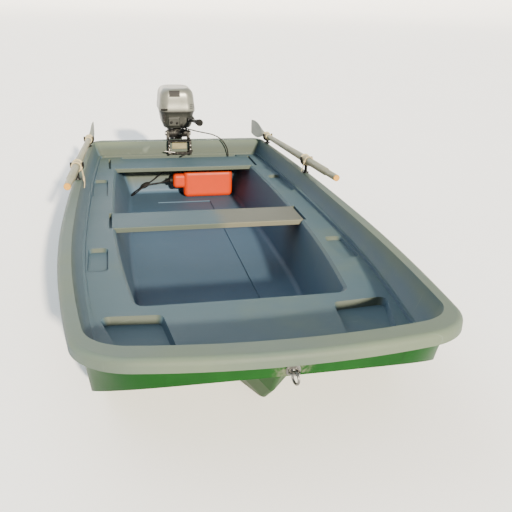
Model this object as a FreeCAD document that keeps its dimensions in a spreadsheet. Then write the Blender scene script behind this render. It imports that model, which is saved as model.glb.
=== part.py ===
import FreeCAD, Part
import math
import os
from FreeCAD import Placement, Rotation, Vector

# Two-moulding dinghy afloat: bow at -Y, stern at +Y, waterline at z = 0, origin amidships.

doc = FreeCAD.newDocument("RowingBoat")
sheet = doc.addObject("Spreadsheet::Sheet", "Dimensions")

# Driving dimensions in millimetres, degrees or counts.
dimensions = [
    # Hull form
    ("HalfBeam", 760, "half width over the gunwale at its widest"),
    ("WidestAt", -150, "station of the greatest beam"),
    ("ForeSweep", 8064, "plan radius of the side ahead of the widest station"),
    ("AftSweep", 17400, "plan radius of the side behind it"),
    ("BowReach", 1668, "bow tip ahead of the origin"),
    ("BowSweep", 2500, "plan radius of the blunt bow"),
    ("BowCorner", 235, "plan radius at the bow corners"),
    ("SternReach", 1745, "stern behind the origin"),
    ("SternSweep", 40000, "plan radius of the transom"),
    ("SternCorner", 100, "plan radius at the stern corners"),
    ("SheerLow", 345, "gunwale top amidships"),
    ("SheerAt", 0, "station of the lowest gunwale"),
    ("ForeRise", 68, "rise of the gunwale at the bow"),
    ("AftRise", 17, "rise of the gunwale at the stern"),
    ("LipDepth", 45, "height of the gunwale lip"),
    ("LipRound", 20, "rounding of the lip's outer edges"),
    ("LipWidth", 50, "width of the lip's top"),
    ("LipOverhang", 18, "lip beyond the hull side"),
    ("SkinThickness", 6, "outer moulding"),
    ("MouldGap", 0.3, "clearance between the two mouldings"),
    ("BottomDepth", 55, "flat bottom below the waterline"),
    ("RampAt", "=860 - BowReach", "station where the bottom starts to rise"),
    ("RampSweep", 754, "radius where the bottom turns up"),
    ("RampSlope", 31, "slope of the rising bottom in degrees"),
    ("BowTurn", 95, "added to the plan radius of the hull's bow corners"),
    ("BilgeTuck", 215, "narrowing of the hull at its bottom"),
    ("WaterTuck", 118, "narrowing of the hull at the waterline"),
    ("KeelDepth", 60, "keel below the flat bottom"),
    ("KeelAt", "=771 - BowReach", "station where the keel starts to rise"),
    ("StemSweep", 694, "radius of the stem"),
    ("KeelSlope", 0.8, "half width of the keel for its depth"),
    ("KeelRound", 12, "rounding of the keel's edge"),
    # Liner
    ("BenchTop", 245, "side benches and decks above the waterline"),
    ("FloorTop", -35, "well floor"),
    ("TransomInner", "=SternReach - 84", "inner face of the transom"),
    ("BenchHalf", "=HalfBeam - 112", "half width over the benches"),
    ("BenchAftSweep", 30000, "plan radius of the benches' outer edge towards the stern"),
    ("LipAftSweep", 24000, "plan radius of the lip's inner edge towards the stern"),
    ("InnerCorner", 45, "plan radius of the inner walls at the stern"),
    ("LedgeRise", 17, "step from bench to ledge"),
    ("LedgeWidth", 13, "ledge at the foot of the inner wall"),
    ("BowWallSlope", 92, "foot of the bow's inner wall behind its top"),
    ("WellHalf", "=HalfBeam - 248", "half width of the well at bench level"),
    ("WellWidest", 200, "station of the widest well"),
    ("WellFore", 940, "front edge of the well ahead of the origin"),
    ("WellForeSweep", 8664, "plan radius of the well's front sides"),
    ("WellAftSweep", 25000, "plan radius of the well's aft sides"),
    ("WellCorner", 60, "plan radius at the well corners"),
    ("WellSlope", 82, "inward slope of each well side"),
    ("WellFrontSlope", 150, "slope of the well's front wall"),
    ("WellBackSlope", 18, "slope of the well's back wall"),
    ("WellEdge", 12, "eased edge of the well"),
    ("FloorRound", 30, "rounding between floor and sides"),
    ("RibHalf", 195, "floor step from the centreline"),
    ("RibFore", 640, "front of the floor step ahead of the origin"),
    ("RibDepth", 6, "height of the floor step"),
    ("LobeHalf", "=WellHalf - 72", "half width of the well behind the aft thwart"),
    ("HollowDepth", 18, "bench hollows"),
    ("HollowIn", "=BenchHalf - 106", "inner edge of the bench hollows"),
    ("HollowWidth", 92, "width of the bench hollows"),
    ("ForeHollowAt", -572, "front of the forward bench hollows"),
    ("ForeHollowLength", 292, "length of the forward bench hollows"),
    ("AftHollowAt", 592, "front of the aft bench hollows"),
    ("AftHollowLength", 405, "length of the aft bench hollows"),
    ("HollowCorner", 25, "corner radius of the bench hollows"),
    ("PocketDepth", 30, "bow pockets"),
    ("PocketIn", "=BenchHalf - 308", "inner corner of a bow pocket from the centreline"),
    ("PocketOut", "=BenchHalf - 68", "outer corner of a bow pocket from the centreline"),
    ("PocketAft", "=BowReach - 638", "aft edge of the bow pockets ahead of the origin"),
    ("PocketFore", "=BowReach - 248", "front edge of the bow pockets ahead of the origin"),
    # Thwarts
    ("MidThwartAt", 8, "front edge of the middle thwart"),
    ("MidThwartDeep", 252, "middle thwart fore and aft"),
    ("AftThwartAt", "=SternReach - 453", "front edge of the aft thwart"),
    ("AftThwartDeep", 306, "aft thwart fore and aft"),
    ("ThwartThick", 28, "thwart boards"),
    ("ThwartHalf", "=WellHalf + 12", "half length of a thwart"),
    ("ThwartSlot", 14, "gap at each end of a thwart"),
    ("ThwartPlay", 3, "gap along a thwart"),
    ("SeatGap", 0.3, "clearance under seated pieces"),
    # Rowlocks and oars
    ("OarEndHeight", 446, "handle end above the waterline"),
    ("OarTipHeight", 400, "blade tip above the waterline"),
    ("OarLength", 1900, "oar from end to end"),
    ("OarEnd", 115, "handle end behind the origin"),
    ("OarEndHalf", "=HalfBeam - 22", "handle end from the centreline"),
    ("OarTipHalf", "=HalfBeam - 117", "blade tip from the centreline"),
    ("GripRadius", 19, "oar grip"),
    ("GripLength", 145, "oar grip"),
    ("LoomRadius", 23.5, "oar shaft at the forward rowlock"),
    ("NeckRadius", 18, "oar shaft at the blade"),
    ("BladeLength", 400, "oar blade with its taper"),
    ("BladeHalf", 63, "half width of the blade"),
    ("BladeThick", 9, "blade at its middle"),
    ("CollarWall", 4.5, "collar round the oar"),
    ("ForeCollarAt", 520, "forward collar from the handle end"),
    ("AftCollarAt", 1415, "aft collar from the handle end"),
    ("CollarLength", 76, "collar along the oar"),
    ("HornWire", 6.5, "radius of a rowlock's horns"),
    ("HornReach", 20, "tips of the horns above the oar's centreline"),
    ("RowlockPin", 6.35, "radius of a rowlock's pin"),
    ("PinPlay", 0.3, "radial clearance of a rowlock pin"),
    ("SocketRadius", 11, "socket barrel"),
    ("SocketDepth", 46, "socket below the lip"),
    ("FlangeRadius", 21, "socket flange"),
    ("FlangeThick", 4, "socket flange"),
    ("ButtonRound", 7, "raised ring at the blade end of a collar"),
    ("TieRope", 4, "radius of the rope tie by a forward collar"),
    ("TieTurns", 2, "turns of the rope tie"),
    ("TieKnot", 9.5, "radius of the tie's knot"),
    # Bow eye
    ("EyeHeight", 346, "bow eye above the waterline"),
    ("EyeRadius", 14, "bow eye's ring"),
    ("EyeWire", 4, "radius of the bow eye's rod"),
    ("RingRadius", 19, "ring in the bow eye"),
    # Fuel tank
    ("FitOut", "=(WellHalf - WellSlope - FloorRound) / 400", "spread of the tank and hose across the well"),
    ("TankAt", "=SternReach - 293", "front of the tank behind the origin"),
    ("TankLength", "=375 * FitOut", "tank along the beam"),
    ("TankDeep", 120, "tank fore and aft"),
    ("TankTall", 205, "tank height as it lies"),
    ("TankEnd", "=8 * FitOut", "left end of the tank body from the centreline"),
    ("TankRound", 34, "tank's rounded edges"),
    ("NeckTankLength", "=78 * FitOut", "tank shoulder beyond its body"),
    ("CapRadius", 27, "tank cap"),
    ("CapLength", 24, "tank cap"),
    # Outboard motor
    ("TiltAt", "=SternReach", "tilt axis behind the origin"),
    ("TiltHeight", 405, "tilt axis above the waterline"),
    ("TiltTube", 12, "tilt tube radius"),
    ("KnuckleRadius", 31, "swivel bracket round the tilt tube"),
    ("SteerAt", "=SternReach + 100", "steering axis behind the origin"),
    ("SteerShaft", 14, "steering shaft radius"),
    ("RunningPlay", 0.05, "radial clearance of the motor's shafts"),
    ("CheekInner", 72, "inside of the clamp bracket's cheeks from the centreline"),
    ("CheekThick", 17, "clamp bracket cheeks"),
    ("HookThick", 10, "clamp bracket over the gunwale"),
    ("ClampDrop", 215, "clamp bracket below the gunwale outside"),
    ("ScrewHeight", 292, "clamp screws above the waterline"),
    ("ScrewRadius", 8, "clamp screws"),
    ("PanLow", 442, "lower pan's underside above the waterline"),
    ("CowlLow", 566, "cowl rim above the waterline"),
    ("CowlTop", 740, "cowl top above the waterline"),
    ("CowlHalf", 137, "half width of the cowl at its rim"),
    ("CowlFront", "=SternReach - 21", "cowl front behind the origin"),
    ("CowlLength", 384, "cowl fore and aft"),
    ("CowlWall", 4, "cowl moulding"),
    ("PlateHeight", -72, "plate over the propeller, above the waterline"),
    ("ShaftHeight", -230, "propeller axis above the waterline"),
    ("GearRadius", 38, "gear case"),
    ("PropAt", "=SteerAt + 199", "front of the propeller hub behind the origin"),
    ("PropRadius", 116, "propeller"),
    ("HubRadius", 31, "propeller hub"),
    ("HubLength", 66, "propeller hub"),
    ("BladeCount", 3, "propeller blades"),
    ("PropPitch", 230, "propeller pitch"),
    ("ShiftSide", -111, "outer side of the shift lever from the centreline"),
    ("ShiftWide", 16, "shift lever"),
    ("ShiftThick", 8, "shift lever"),
    ("ShiftTall", 68, "shift lever"),
    ("ShiftLow", 487, "shift lever's lower end above the waterline"),
    ("TillerSide", 101, "tiller from the centreline"),
    ("TillerAt", "=SternReach - 33", "tiller pivot behind the origin"),
    ("TillerHeight", 509, "tiller pivot above the waterline"),
    ("TillerLength", 518, "tiller from its pivot to the grip's end"),
    ("TillerRise", 7.6, "slope of the tiller in degrees"),
    ("YokeRadius", 15, "rounded front of the tiller's bracket"),
    ("TillerGrip", 20, "tiller grip radius"),
    # Hose
    ("HoseRadius", 4.5, "fuel hose"),
    ("BulbRadius", 19, "priming bulb"),
    ("BulbLength", 84, "priming bulb"),
]

for row, (alias, value, note) in enumerate(dimensions, start=1):
    sheet.set("A%d" % row, alias)
    sheet.set("B%d" % row, str(value))
    sheet.set("C%d" % row, note)
    sheet.setAlias("B%d" % row, alias)
doc.recompute()


def size(alias):
    """Read one driving dimension from the sheet."""
    return float(sheet.get(alias))


seatGap = size("SeatGap")
play = size("RunningPlay")
nodes = []


def keep(obj, label):
    """Name a finished sub-part and note it for export."""
    obj.Label = label
    nodes.append(obj)
    return obj


def feature(name, shape, placement=None):
    """A sub-part whose shape comes from the functions below."""
    obj = doc.addObject("Part::Feature", name)
    obj.Shape = shape
    if placement is not None:
        obj.Placement = placement
    return obj


def bind(obj, **expressions):
    """Tie the object's properties to cells of the sheet."""
    for name, expression in expressions.items():
        obj.setExpression(name, expression)


def arcAbout(centre, radius, start, end):
    middle = (start - centre).normalize() + (end - centre).normalize()
    return Part.Arc(start, centre + middle.normalize() * radius, end).toShape()


def meet(first, firstRadius, second, secondRadius, near):
    """The crossing of two level circles that lies nearest a point."""
    across = second - first
    gap = across.Length
    along = (firstRadius ** 2 - secondRadius ** 2 + gap ** 2) / (2 * gap)
    up = math.sqrt(firstRadius ** 2 - along ** 2)
    base = first + across * (along / gap)
    side = Vector(-across.y, across.x, 0).normalize() * up
    return min((base + side, base - side), key=lambda point: (point - near).Length)


def toward(centre, radius, other):
    return centre + (other - centre).normalize() * radius


def flip(point):
    return Vector(-point.x, point.y, point.z)


def planWire(z, half, bow, stern, corners, sweeps, widest):
    """A boat-shaped closed outline at one height, all arcs tangent."""
    bowCorner, sternCorner = corners
    foreSweep, aftSweep, bowSweep, sternSweep = sweeps
    fore = Vector(half - foreSweep, widest, z)
    aft = Vector(half - aftSweep, widest, z)
    front = Vector(0, bow + bowSweep, z)
    back = Vector(0, stern - sternSweep, z)
    bowTurn = meet(fore, foreSweep - bowCorner, front, bowSweep - bowCorner, Vector(half, bow, z))
    sternTurn = meet(aft, aftSweep - sternCorner, back, sternSweep - sternCorner, Vector(half, stern, z))
    p1 = toward(back, sternSweep, sternTurn)
    p2 = toward(aft, aftSweep, sternTurn)
    p3 = Vector(half, widest, z)
    p4 = toward(fore, foreSweep, bowTurn)
    p5 = toward(front, bowSweep, bowTurn)
    right = [
        (sternTurn, sternCorner, p1, p2),
        (aft, aftSweep, p2, p3),
        (fore, foreSweep, p3, p4),
        (bowTurn, bowCorner, p4, p5),
    ]
    edges = [arcAbout(back, sternSweep, flip(p1), p1)]
    edges += [arcAbout(*piece) for piece in right]
    edges.append(arcAbout(front, bowSweep, p5, flip(p5)))
    for centre, radius, start, end in reversed(right):
        edges.append(arcAbout(flip(centre), radius, flip(end), flip(start)))
    return Part.Wire(edges)


hullSweeps = (size("ForeSweep"), size("AftSweep"), size("BowSweep"), size("SternSweep"))
wellSweeps = (size("WellForeSweep"), size("WellAftSweep"), 30000.0, size("SternSweep"))
farOut = 2600.0


def hullLevel(z, tuck, rake, inset, cornerLoss):
    half = size("HalfBeam") - size("LipOverhang") - tuck - inset
    bow = -size("BowReach") + size("LipOverhang") + rake + inset
    stern = size("SternReach") - size("LipOverhang") / 3 - inset
    corners = (size("BowCorner") - cornerLoss - inset, size("SternCorner") - max(cornerLoss, 0.0) / 3 - inset)
    return planWire(z, half, bow, stern, corners, hullSweeps, size("WidestAt"))


def yzPrism(points, arcs=()):
    """Solid spanning the beam from a closed side profile of lines and arcs."""
    edges = []
    for index, point in enumerate(points):
        following = points[(index + 1) % len(points)]
        start = Vector(-farOut / 2, point[0], point[1])
        end = Vector(-farOut / 2, following[0], following[1])
        if index in arcs:
            middle = arcs[index]
            edges.append(Part.Arc(start, Vector(-farOut / 2, middle[0], middle[1]), end).toShape())
        else:
            edges.append(Part.LineSegment(start, end).toShape())
    return Part.Face(Part.Wire(edges)).extrude(Vector(farOut, 0, 0))


def sweepRadius(run, rise):
    return (run ** 2 + rise ** 2) / (2 * rise)


foreSheer = sweepRadius(size("BowReach") + size("SheerAt"), size("ForeRise"))
aftSheer = sweepRadius(size("SternReach") - size("SheerAt"), size("AftRise"))


def sheerHeight(y):
    radius = foreSheer if y < size("SheerAt") else aftSheer
    return size("SheerLow") + radius - math.sqrt(radius ** 2 - (y - size("SheerAt")) ** 2)


def belowSheer(drop):
    """Everything lower than the gunwale's line, moved down by a drop."""
    low = -farOut / 2
    ends = (2100.0, -2100.0)
    mids = [(end / 2, sheerHeight(end / 2) - drop) for end in ends]
    points = [
        (ends[0], low),
        (ends[0], sheerHeight(ends[0]) - drop),
        (size("SheerAt"), size("SheerLow") - drop),
        (ends[1], sheerHeight(ends[1]) - drop),
        (ends[1], low),
    ]
    return yzPrism(points, {1: mids[0], 2: mids[1]})


def aboveBottom(inset):
    """Everything higher than the flat bottom and its rising bow."""
    flat = -size("BottomDepth") + inset
    start = size("RampAt")
    radius = size("RampSweep") - inset
    centre = -size("BottomDepth") + size("RampSweep")
    slope = math.radians(size("RampSlope"))
    half = slope / 2
    end = (start - radius * math.sin(slope), centre - radius * math.cos(slope))
    middle = (start - radius * math.sin(half), centre - radius * math.cos(half))
    tip = (end[0] - farOut / 2, end[1] + farOut / 2 * math.tan(slope))
    points = [(2100.0, flat), (start, flat), end, tip, (tip[0], 2500.0), (2100.0, 2500.0)]
    return yzPrism(points, {1: middle})


# The hull sides run on outward, over the gunwale's line, as a lofting allowance.
flareRoom = 130.0
flare = 10.0


def hullForm(inset):
    """The outer hull's shape, moved inward by an inset on every side."""
    levels = [
        hullLevel(-90.0, size("BilgeTuck") + 40, 150.0, inset, 60.0),
        hullLevel(-size("BottomDepth"), size("BilgeTuck"), 130.0, inset, 55.0),
        hullLevel(0.0, size("WaterTuck"), 100.0, inset, 40.0),
        hullLevel(size("BenchTop") * 0.6, size("WaterTuck") * 0.42, 40.0, inset, -size("BowTurn") / 2),
        hullLevel(size("SheerLow"), 0.0, 0.0, inset, -size("BowTurn")),
        hullLevel(size("SheerLow") + flareRoom, -flare, -flare, inset, -size("BowTurn")),
    ]
    return Part.makeLoft(levels, True, False).common(aboveBottom(inset))


outer = hullForm(0.0)
underLip = belowSheer(size("LipDepth") + size("MouldGap"))
shell = outer.cut(hullForm(size("SkinThickness"))).common(underLip)
keep(feature("HullShell", shell), "hull_shell")


def keelSection(y, tip):
    """V section of the keel with a rounded edge, its tip at one height."""
    slope = size("KeelSlope")
    radius = size("KeelRound")
    tall = 330.0
    lean = math.atan(slope)
    centre = Vector(0, y, tip + radius)
    touch = Vector(radius * math.cos(lean), y, tip + radius - radius * math.sin(lean))
    top = Vector(touch.x + (tall - touch.z + tip) * slope, y, tip + tall)
    edges = [
        Part.Arc(flip(touch), centre - Vector(0, 0, radius), touch).toShape(),
        Part.LineSegment(touch, top).toShape(),
        Part.LineSegment(top, flip(top)).toShape(),
        Part.LineSegment(flip(top), flip(touch)).toShape(),
    ]
    return Part.Wire(edges)


keelTip = -size("BottomDepth") - size("KeelDepth")
stemAngles = [0, 12, 24, 36, 48, 58, 66]
keelStations = [(size("SternReach") - 60.0, keelTip), (size("SternReach") / 2, keelTip), (0.0, keelTip)]
for angle in stemAngles:
    turn = math.radians(angle)
    along = size("KeelAt") - size("StemSweep") * math.sin(turn)
    keelStations.append((along, keelTip + size("StemSweep") * (1 - math.cos(turn))))
keelBlank = Part.makeLoft([keelSection(y, tip) for y, tip in keelStations], True, True)
keel = keelBlank.cut(hullForm(-size("MouldGap")))
keel = max(keel.Solids, key=lambda solid: solid.Volume)
keep(feature("Keel", keel), "keel")

# Liner: core of the boat up to the benches, inner walls and gunwale lip.
lipTop = size("SheerLow") + flareRoom
lipWires = [
    planWire(z, size("HalfBeam"), -size("BowReach"), size("SternReach"),
             (size("BowCorner"), size("SternCorner")), hullSweeps, size("WidestAt"))
    for z in (size("BenchTop"), lipTop)
]
lip = Part.makeLoft(lipWires, True, True).common(belowSheer(0.0)).cut(belowSheer(size("LipDepth")))
lipEdges = [
    edge for edge in lip.Edges
    if all(abs(vertex.Z - sheerHeight(vertex.Y)) < 0.5 for vertex in edge.Vertexes)
    and not (abs(edge.CenterOfMass.y - size("SheerAt")) < 1 and edge.BoundBox.XLength > size("HalfBeam"))
]
lip = lip.makeFillet(size("LipRound"), lipEdges)

core = hullForm(size("SkinThickness") + size("MouldGap")).common(belowSheer(size("LipDepth") / 2))
liner = core.fuse(lip)

benchHalf = size("BenchHalf")
ledgeTop = size("BenchTop") + size("LedgeRise")
wallFoot = benchHalf + size("LedgeWidth")
lipInner = size("HalfBeam") - size("LipWidth") - 8.0
bowInner = -size("BowReach") + size("LipWidth") + 48.0
bowFoot = bowInner + size("BowWallSlope")


def innerWire(z, half, bow, stern, bowCorner, aftSweep):
    sweeps = (size("ForeSweep"), size(aftSweep), size("BowSweep"), size("SternSweep"))
    return planWire(z, half, bow, stern, (bowCorner, size("InnerCorner")), sweeps, size("WidestAt"))


transomInner = size("TransomInner")
benchSpace = Part.makeLoft([
    innerWire(size("BenchTop"), benchHalf, bowFoot, transomInner - 8.0, 150.0, "BenchAftSweep"),
    innerWire(ledgeTop + 1.0, benchHalf + 2.0, bowFoot - 2.0, transomInner - 7.0, 150.0, "BenchAftSweep"),
], True, True)
wallSpace = Part.makeLoft([
    innerWire(ledgeTop, wallFoot, bowFoot - size("LedgeWidth"), transomInner, 155.0, "BenchAftSweep"),
    innerWire(size("SheerLow"), lipInner - 2.0, bowInner + 18.0, transomInner, 170.0, "LipAftSweep"),
    innerWire(lipTop, lipInner + 6.0, bowInner - 2.0, transomInner, 180.0, "LipAftSweep"),
], True, False)
liner = liner.cut(benchSpace).cut(wallSpace)


def wellWire(z, half, fore, aft):
    corners = (size("WellCorner"), size("WellCorner"))
    return planWire(z, half, -fore, aft, corners, wellSweeps, size("WellWidest"))


benchTop = size("BenchTop")
wellHalf = size("WellHalf")
wellFore = size("WellFore")
wellAft = transomInner - 12.0
wellEdge = size("WellEdge")
wellSpace = Part.makeLoft([
    wellWire(size("FloorTop"), wellHalf - size("WellSlope"), wellFore - size("WellFrontSlope"),
             wellAft - size("WellBackSlope")),
    wellWire(benchTop + 2.0, wellHalf, wellFore, wellAft),
], True, True)
floorEdges = [edge for edge in wellSpace.Edges
              if all(abs(vertex.Z - size("FloorTop")) < 0.1 for vertex in edge.Vertexes)]
wellSpace = wellSpace.makeFillet(size("FloorRound"), floorEdges)
edgeSpace = Part.makeLoft([
    wellWire(benchTop - wellEdge, wellHalf - 4.0, wellFore, wellAft - 2.0),
    wellWire(benchTop + 1.0, wellHalf + wellEdge * 0.8, wellFore + wellEdge * 0.8, wellAft + 8.0),
], True, True)
lobeStart = size("AftThwartAt") + size("AftThwartDeep") + size("ThwartPlay")
lobeLength = transomInner - lobeStart + 30.0
for side in (-1, 1):
    lobe = Part.makeBox(200.0, lobeLength, 400.0, Vector(0, 0, 0))
    corner = [edge for edge in lobe.Edges
              if abs(edge.CenterOfMass.x) < 0.1 and abs(edge.CenterOfMass.y) < 0.1]
    lobe = lobe.makeFillet(30.0, corner)
    if side < 0:
        lobe = lobe.mirror(Vector(0, 0, 0), Vector(1, 0, 0))
    lobe.translate(Vector(side * size("LobeHalf"), lobeStart, -60.0))
    wellSpace = wellSpace.cut(lobe)
    edgeSpace = edgeSpace.cut(lobe)
ribSpace = Part.makeBox(2 * size("RibHalf"), 2000.0, size("RibDepth"),
                        Vector(-size("RibHalf"), -size("RibFore"), size("FloorTop") - size("RibDepth")))
liner = liner.cut(wellSpace).cut(edgeSpace).cut(ribSpace)


def roundedPlan(points, radius, z):
    """Closed level outline through the corners, each rounded."""
    corners = [Vector(x, y, z) for x, y in points]
    edges = []
    ends = []
    for index, corner in enumerate(corners):
        before = (corners[index - 1] - corner).normalize()
        after = (corners[(index + 1) % len(corners)] - corner).normalize()
        angle = before.getAngle(after)
        trim = radius / math.tan(angle / 2)
        start = corner + before * trim
        end = corner + after * trim
        inward = (before + after).normalize()
        middle = corner + inward * (radius / math.sin(angle / 2) - radius)
        edges.append(Part.Arc(start, middle, end).toShape())
        ends.append((start, end))
    wire = []
    for index, arc in enumerate(edges):
        wire.append(arc)
        wire.append(Part.LineSegment(ends[index][1], ends[(index + 1) % len(ends)][0]).toShape())
    return Part.Wire(wire)


def dish(points, depth, slope, radius):
    """Cutter for a shallow hollow with sloping sides, below the bench top."""
    middle = Vector(sum(x for x, y in points), sum(y for x, y in points), 0) / len(points)
    inner = []
    for x, y in points:
        inward = (middle - Vector(x, y, 0)).normalize() * slope * 1.4
        inner.append((x + inward.x, y + inward.y))
    wires = [roundedPlan(inner, radius, benchTop - depth), roundedPlan(points, radius + 4.0, benchTop + 1.0)]
    return Part.makeLoft(wires, True, True)


def hollowPlan(start, length):
    near = size("HollowIn")
    far = near + size("HollowWidth")
    return [(near, start), (far, start), (far, start + length), (near, start + length)]


bowPocket = [
    (size("PocketIn") - 45.0, -size("PocketFore")),
    (size("PocketOut") - 95.0, -size("PocketFore") + 50.0),
    (size("PocketOut"), -size("PocketAft") + 20.0),
    (size("PocketIn"), -size("PocketAft")),
]
foreHollow = hollowPlan(size("ForeHollowAt"), size("ForeHollowLength"))
aftHollow = hollowPlan(size("AftHollowAt"), size("AftHollowLength"))
cutters = [
    dish(foreHollow, size("HollowDepth"), 9.0, size("HollowCorner")),
    dish(aftHollow, size("HollowDepth"), 9.0, size("HollowCorner")),
    dish(bowPocket, size("PocketDepth"), 14.0, size("HollowCorner")),
]
slotEnd = size("ThwartHalf") + size("ThwartSlot")
slotStart = wellHalf - 112.0
slotDepth = size("ThwartThick") + seatGap
for at, deep in (("MidThwartAt", "MidThwartDeep"), ("AftThwartAt", "AftThwartDeep")):
    corner = Vector(slotStart, size(at) - size("ThwartPlay"), benchTop - slotDepth)
    slotWidth = size(deep) + 2 * size("ThwartPlay")
    cutters.append(Part.makeBox(slotEnd - slotStart, slotWidth, slotDepth + 2.0, corner))
for cutter in cutters:
    liner = liner.cut(cutter).cut(cutter.mirror(Vector(0, 0, 0), Vector(1, 0, 0)))

# Rowlock stations follow the oars, which lie in them.
oarStart = Vector(size("OarEndHalf"), size("OarEnd"), size("OarEndHeight"))
oarRun = math.sqrt(size("OarLength") ** 2 - (size("OarEndHalf") - size("OarTipHalf")) ** 2
                   - (size("OarEndHeight") - size("OarTipHeight")) ** 2)
oarEnd = Vector(size("OarTipHalf"), size("OarEnd") + oarRun, size("OarTipHeight"))
oarLine = (oarEnd - oarStart).normalize()
stations = {
    "fore": oarStart + oarLine * size("ForeCollarAt"),
    "aft": oarStart + oarLine * size("AftCollarAt"),
}
socketRoom = size("SocketRadius") + size("MouldGap")
for station in stations.values():
    top = sheerHeight(station.y)
    for side in (-1, 1):
        foot = Vector(side * station.x, station.y, top - size("SocketDepth") - seatGap)
        liner = liner.cut(Part.makeCylinder(socketRoom, size("SocketDepth") + 60.0, foot))
liner = max(liner.Solids, key=lambda solid: solid.Volume)
keep(feature("Liner", liner), "liner")

# Thwart boards, each a pad with eased edges.


def thwart(name, label, at, deep):
    board = doc.addObject("Part::Box", name + "Board")
    bind(board, Length="Dimensions.ThwartHalf * 2", Width="Dimensions." + deep,
         Height="Dimensions.ThwartThick")
    doc.recompute()
    rounded = doc.addObject("Part::Fillet", name)
    rounded.Base = board
    edges = []
    for index, edge in enumerate(board.Shape.Edges, start=1):
        if abs(edge.CenterOfMass.z - size("ThwartThick")) < 0.1:
            edges.append((index, 6.0, 6.0))
    rounded.Edges = edges
    doc.recompute()
    rounded.setExpression(".Placement.Base.x", "-Dimensions.ThwartHalf")
    rounded.setExpression(".Placement.Base.y", "Dimensions." + at)
    rounded.setExpression(".Placement.Base.z", "Dimensions.BenchTop - Dimensions.ThwartThick")
    return keep(rounded, label)


thwart("MidThwart", "mid_thwart", "MidThwartAt", "MidThwartDeep")
thwart("AftThwart", "aft_thwart", "AftThwartAt", "AftThwartDeep")

# Rowlocks: a flanged socket in the lip and a horned rowlock on its pin.


def horn(collarRadius):
    """Open rowlock about the origin, its pin hanging along -Z."""
    wire = size("HornWire")
    ring = collarRadius + seatGap + wire
    room = 2 * (ring + wire)
    body = Part.makeTorus(ring, wire, Vector(0, 0, 0), Vector(0, 1, 0))
    body = body.common(Part.makeBox(room, room, room, Vector(-room / 2, -room / 2, -room)))
    reach = size("HornReach")
    for side in (-1, 1):
        post = Part.makeCylinder(wire, reach, Vector(side * ring, 0, 0))
        post = post.makeFillet(wire / 2, [edge for edge in post.Edges if edge.CenterOfMass.z > reach - 0.1])
        body = body.fuse(post)
    return body, ring


def rowlock(name, station, side, collarRadius):
    top = sheerHeight(station.y)
    place = Vector(side * station.x, station.y, 0)
    flange = Part.makeCylinder(size("FlangeRadius"), size("FlangeThick"), Vector(0, 0, seatGap))
    barrel = Part.makeCylinder(size("SocketRadius"), size("SocketDepth"), Vector(0, 0, -size("SocketDepth")))
    neck = Part.makeCylinder(size("SocketRadius"), size("FlangeThick") + 5.0)
    bore = Part.makeCylinder(size("RowlockPin") + size("PinPlay"), size("SocketDepth") + 20.0,
                             Vector(0, 0, -size("SocketDepth") + 4.0))
    socket = barrel.fuse(flange).fuse(neck).cut(bore).removeSplitter()
    lift = 3.0
    keep(feature("Socket" + name, socket, Placement(place + Vector(0, 0, top + lift), Rotation())),
         "socket_" + name)
    body, ring = horn(collarRadius)
    shoulder = top + lift + size("FlangeThick") + 5.0 + seatGap - station.z
    pinLength = size("SocketDepth") - 8.0
    stem = Part.makeCylinder(size("RowlockPin") + 3.0, -ring - shoulder, Vector(0, 0, shoulder))
    pin = Part.makeCylinder(size("RowlockPin"), pinLength, Vector(0, 0, shoulder - pinLength))
    body = body.fuse(stem).fuse(pin).removeSplitter()
    keep(feature("Rowlock" + name, body, Placement(place + Vector(0, 0, station.z), Rotation())),
         "rowlock_" + name)


collarFore = size("LoomRadius") + size("CollarWall")
collarAft = size("NeckRadius") + 2.0 + size("CollarWall")
for side, name in ((1, "port"), (-1, "starboard")):
    rowlock("fore_" + name, stations["fore"], side, collarFore)
    rowlock("aft_" + name, stations["aft"], side, collarAft)

# Bow eye on the stem, with its ring.
eyeHeight = size("EyeHeight")
outside = Vector(0, -size("BowReach") - 100.0, eyeHeight)
eyeFace = outer.distToShape(Part.Vertex(outside))[1][0][0]
eyeNormal = (outside - eyeFace).normalize()
eyeAt = eyeFace + eyeNormal * seatGap
footHeight = 4.0
footTall = 30.0
footHalf = size("EyeRadius") + 8.0
foot = Part.makeBox(2 * footHalf, footTall, footHeight, Vector(-footHalf, -footTall / 2, 0))
foot = foot.makeFillet(9.0, [edge for edge in foot.Edges if edge.BoundBox.ZLength > footHeight - 0.1])
crown = footHeight + 11.0
arch = Part.makeTorus(size("EyeRadius"), size("EyeWire"), Vector(0, 0, crown), Vector(0, 1, 0))
room = 4 * size("EyeRadius")
arch = arch.common(Part.makeBox(room, room, room, Vector(-room / 2, -room / 2, footHeight - 2.0)))
eye = foot.fuse(arch).removeSplitter()
keep(feature("BowEye", eye, Placement(eyeAt, Rotation(Vector(0, 0, 1), eyeNormal))), "bow_eye")
ringHang = eyeAt + eyeNormal * (crown + size("EyeRadius"))
ringHang -= Vector(0, 0, size("RingRadius") - 2 * size("EyeWire") - seatGap)
ring = Part.makeTorus(size("RingRadius"), size("EyeWire"), Vector(0, 0, 0), Vector(1, 0.25, 0))
keep(feature("BowRing", ring, Placement(ringHang, Rotation())), "bow_ring")

# Oars in their rowlocks.


def revolve(profile, axisPoint=Vector(0, 0, 0), axis=Vector(0, 0, 1)):
    """Solid of revolution about Z from pairs of radius and height."""
    points = [Vector(radius, 0, height) for radius, height in profile]
    face = Part.Face(Part.makePolygon(points + [points[0]]))
    return face.revolve(axisPoint, axis, 360)


def oarFrame(side):
    along = Vector(oarLine.x * side, oarLine.y, oarLine.z)
    up = Vector(0, 0, 1)
    return Placement(Vector(side * oarStart.x, oarStart.y, oarStart.z),
                     Rotation(up.cross(along), up, along, "ZYX"))


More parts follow.
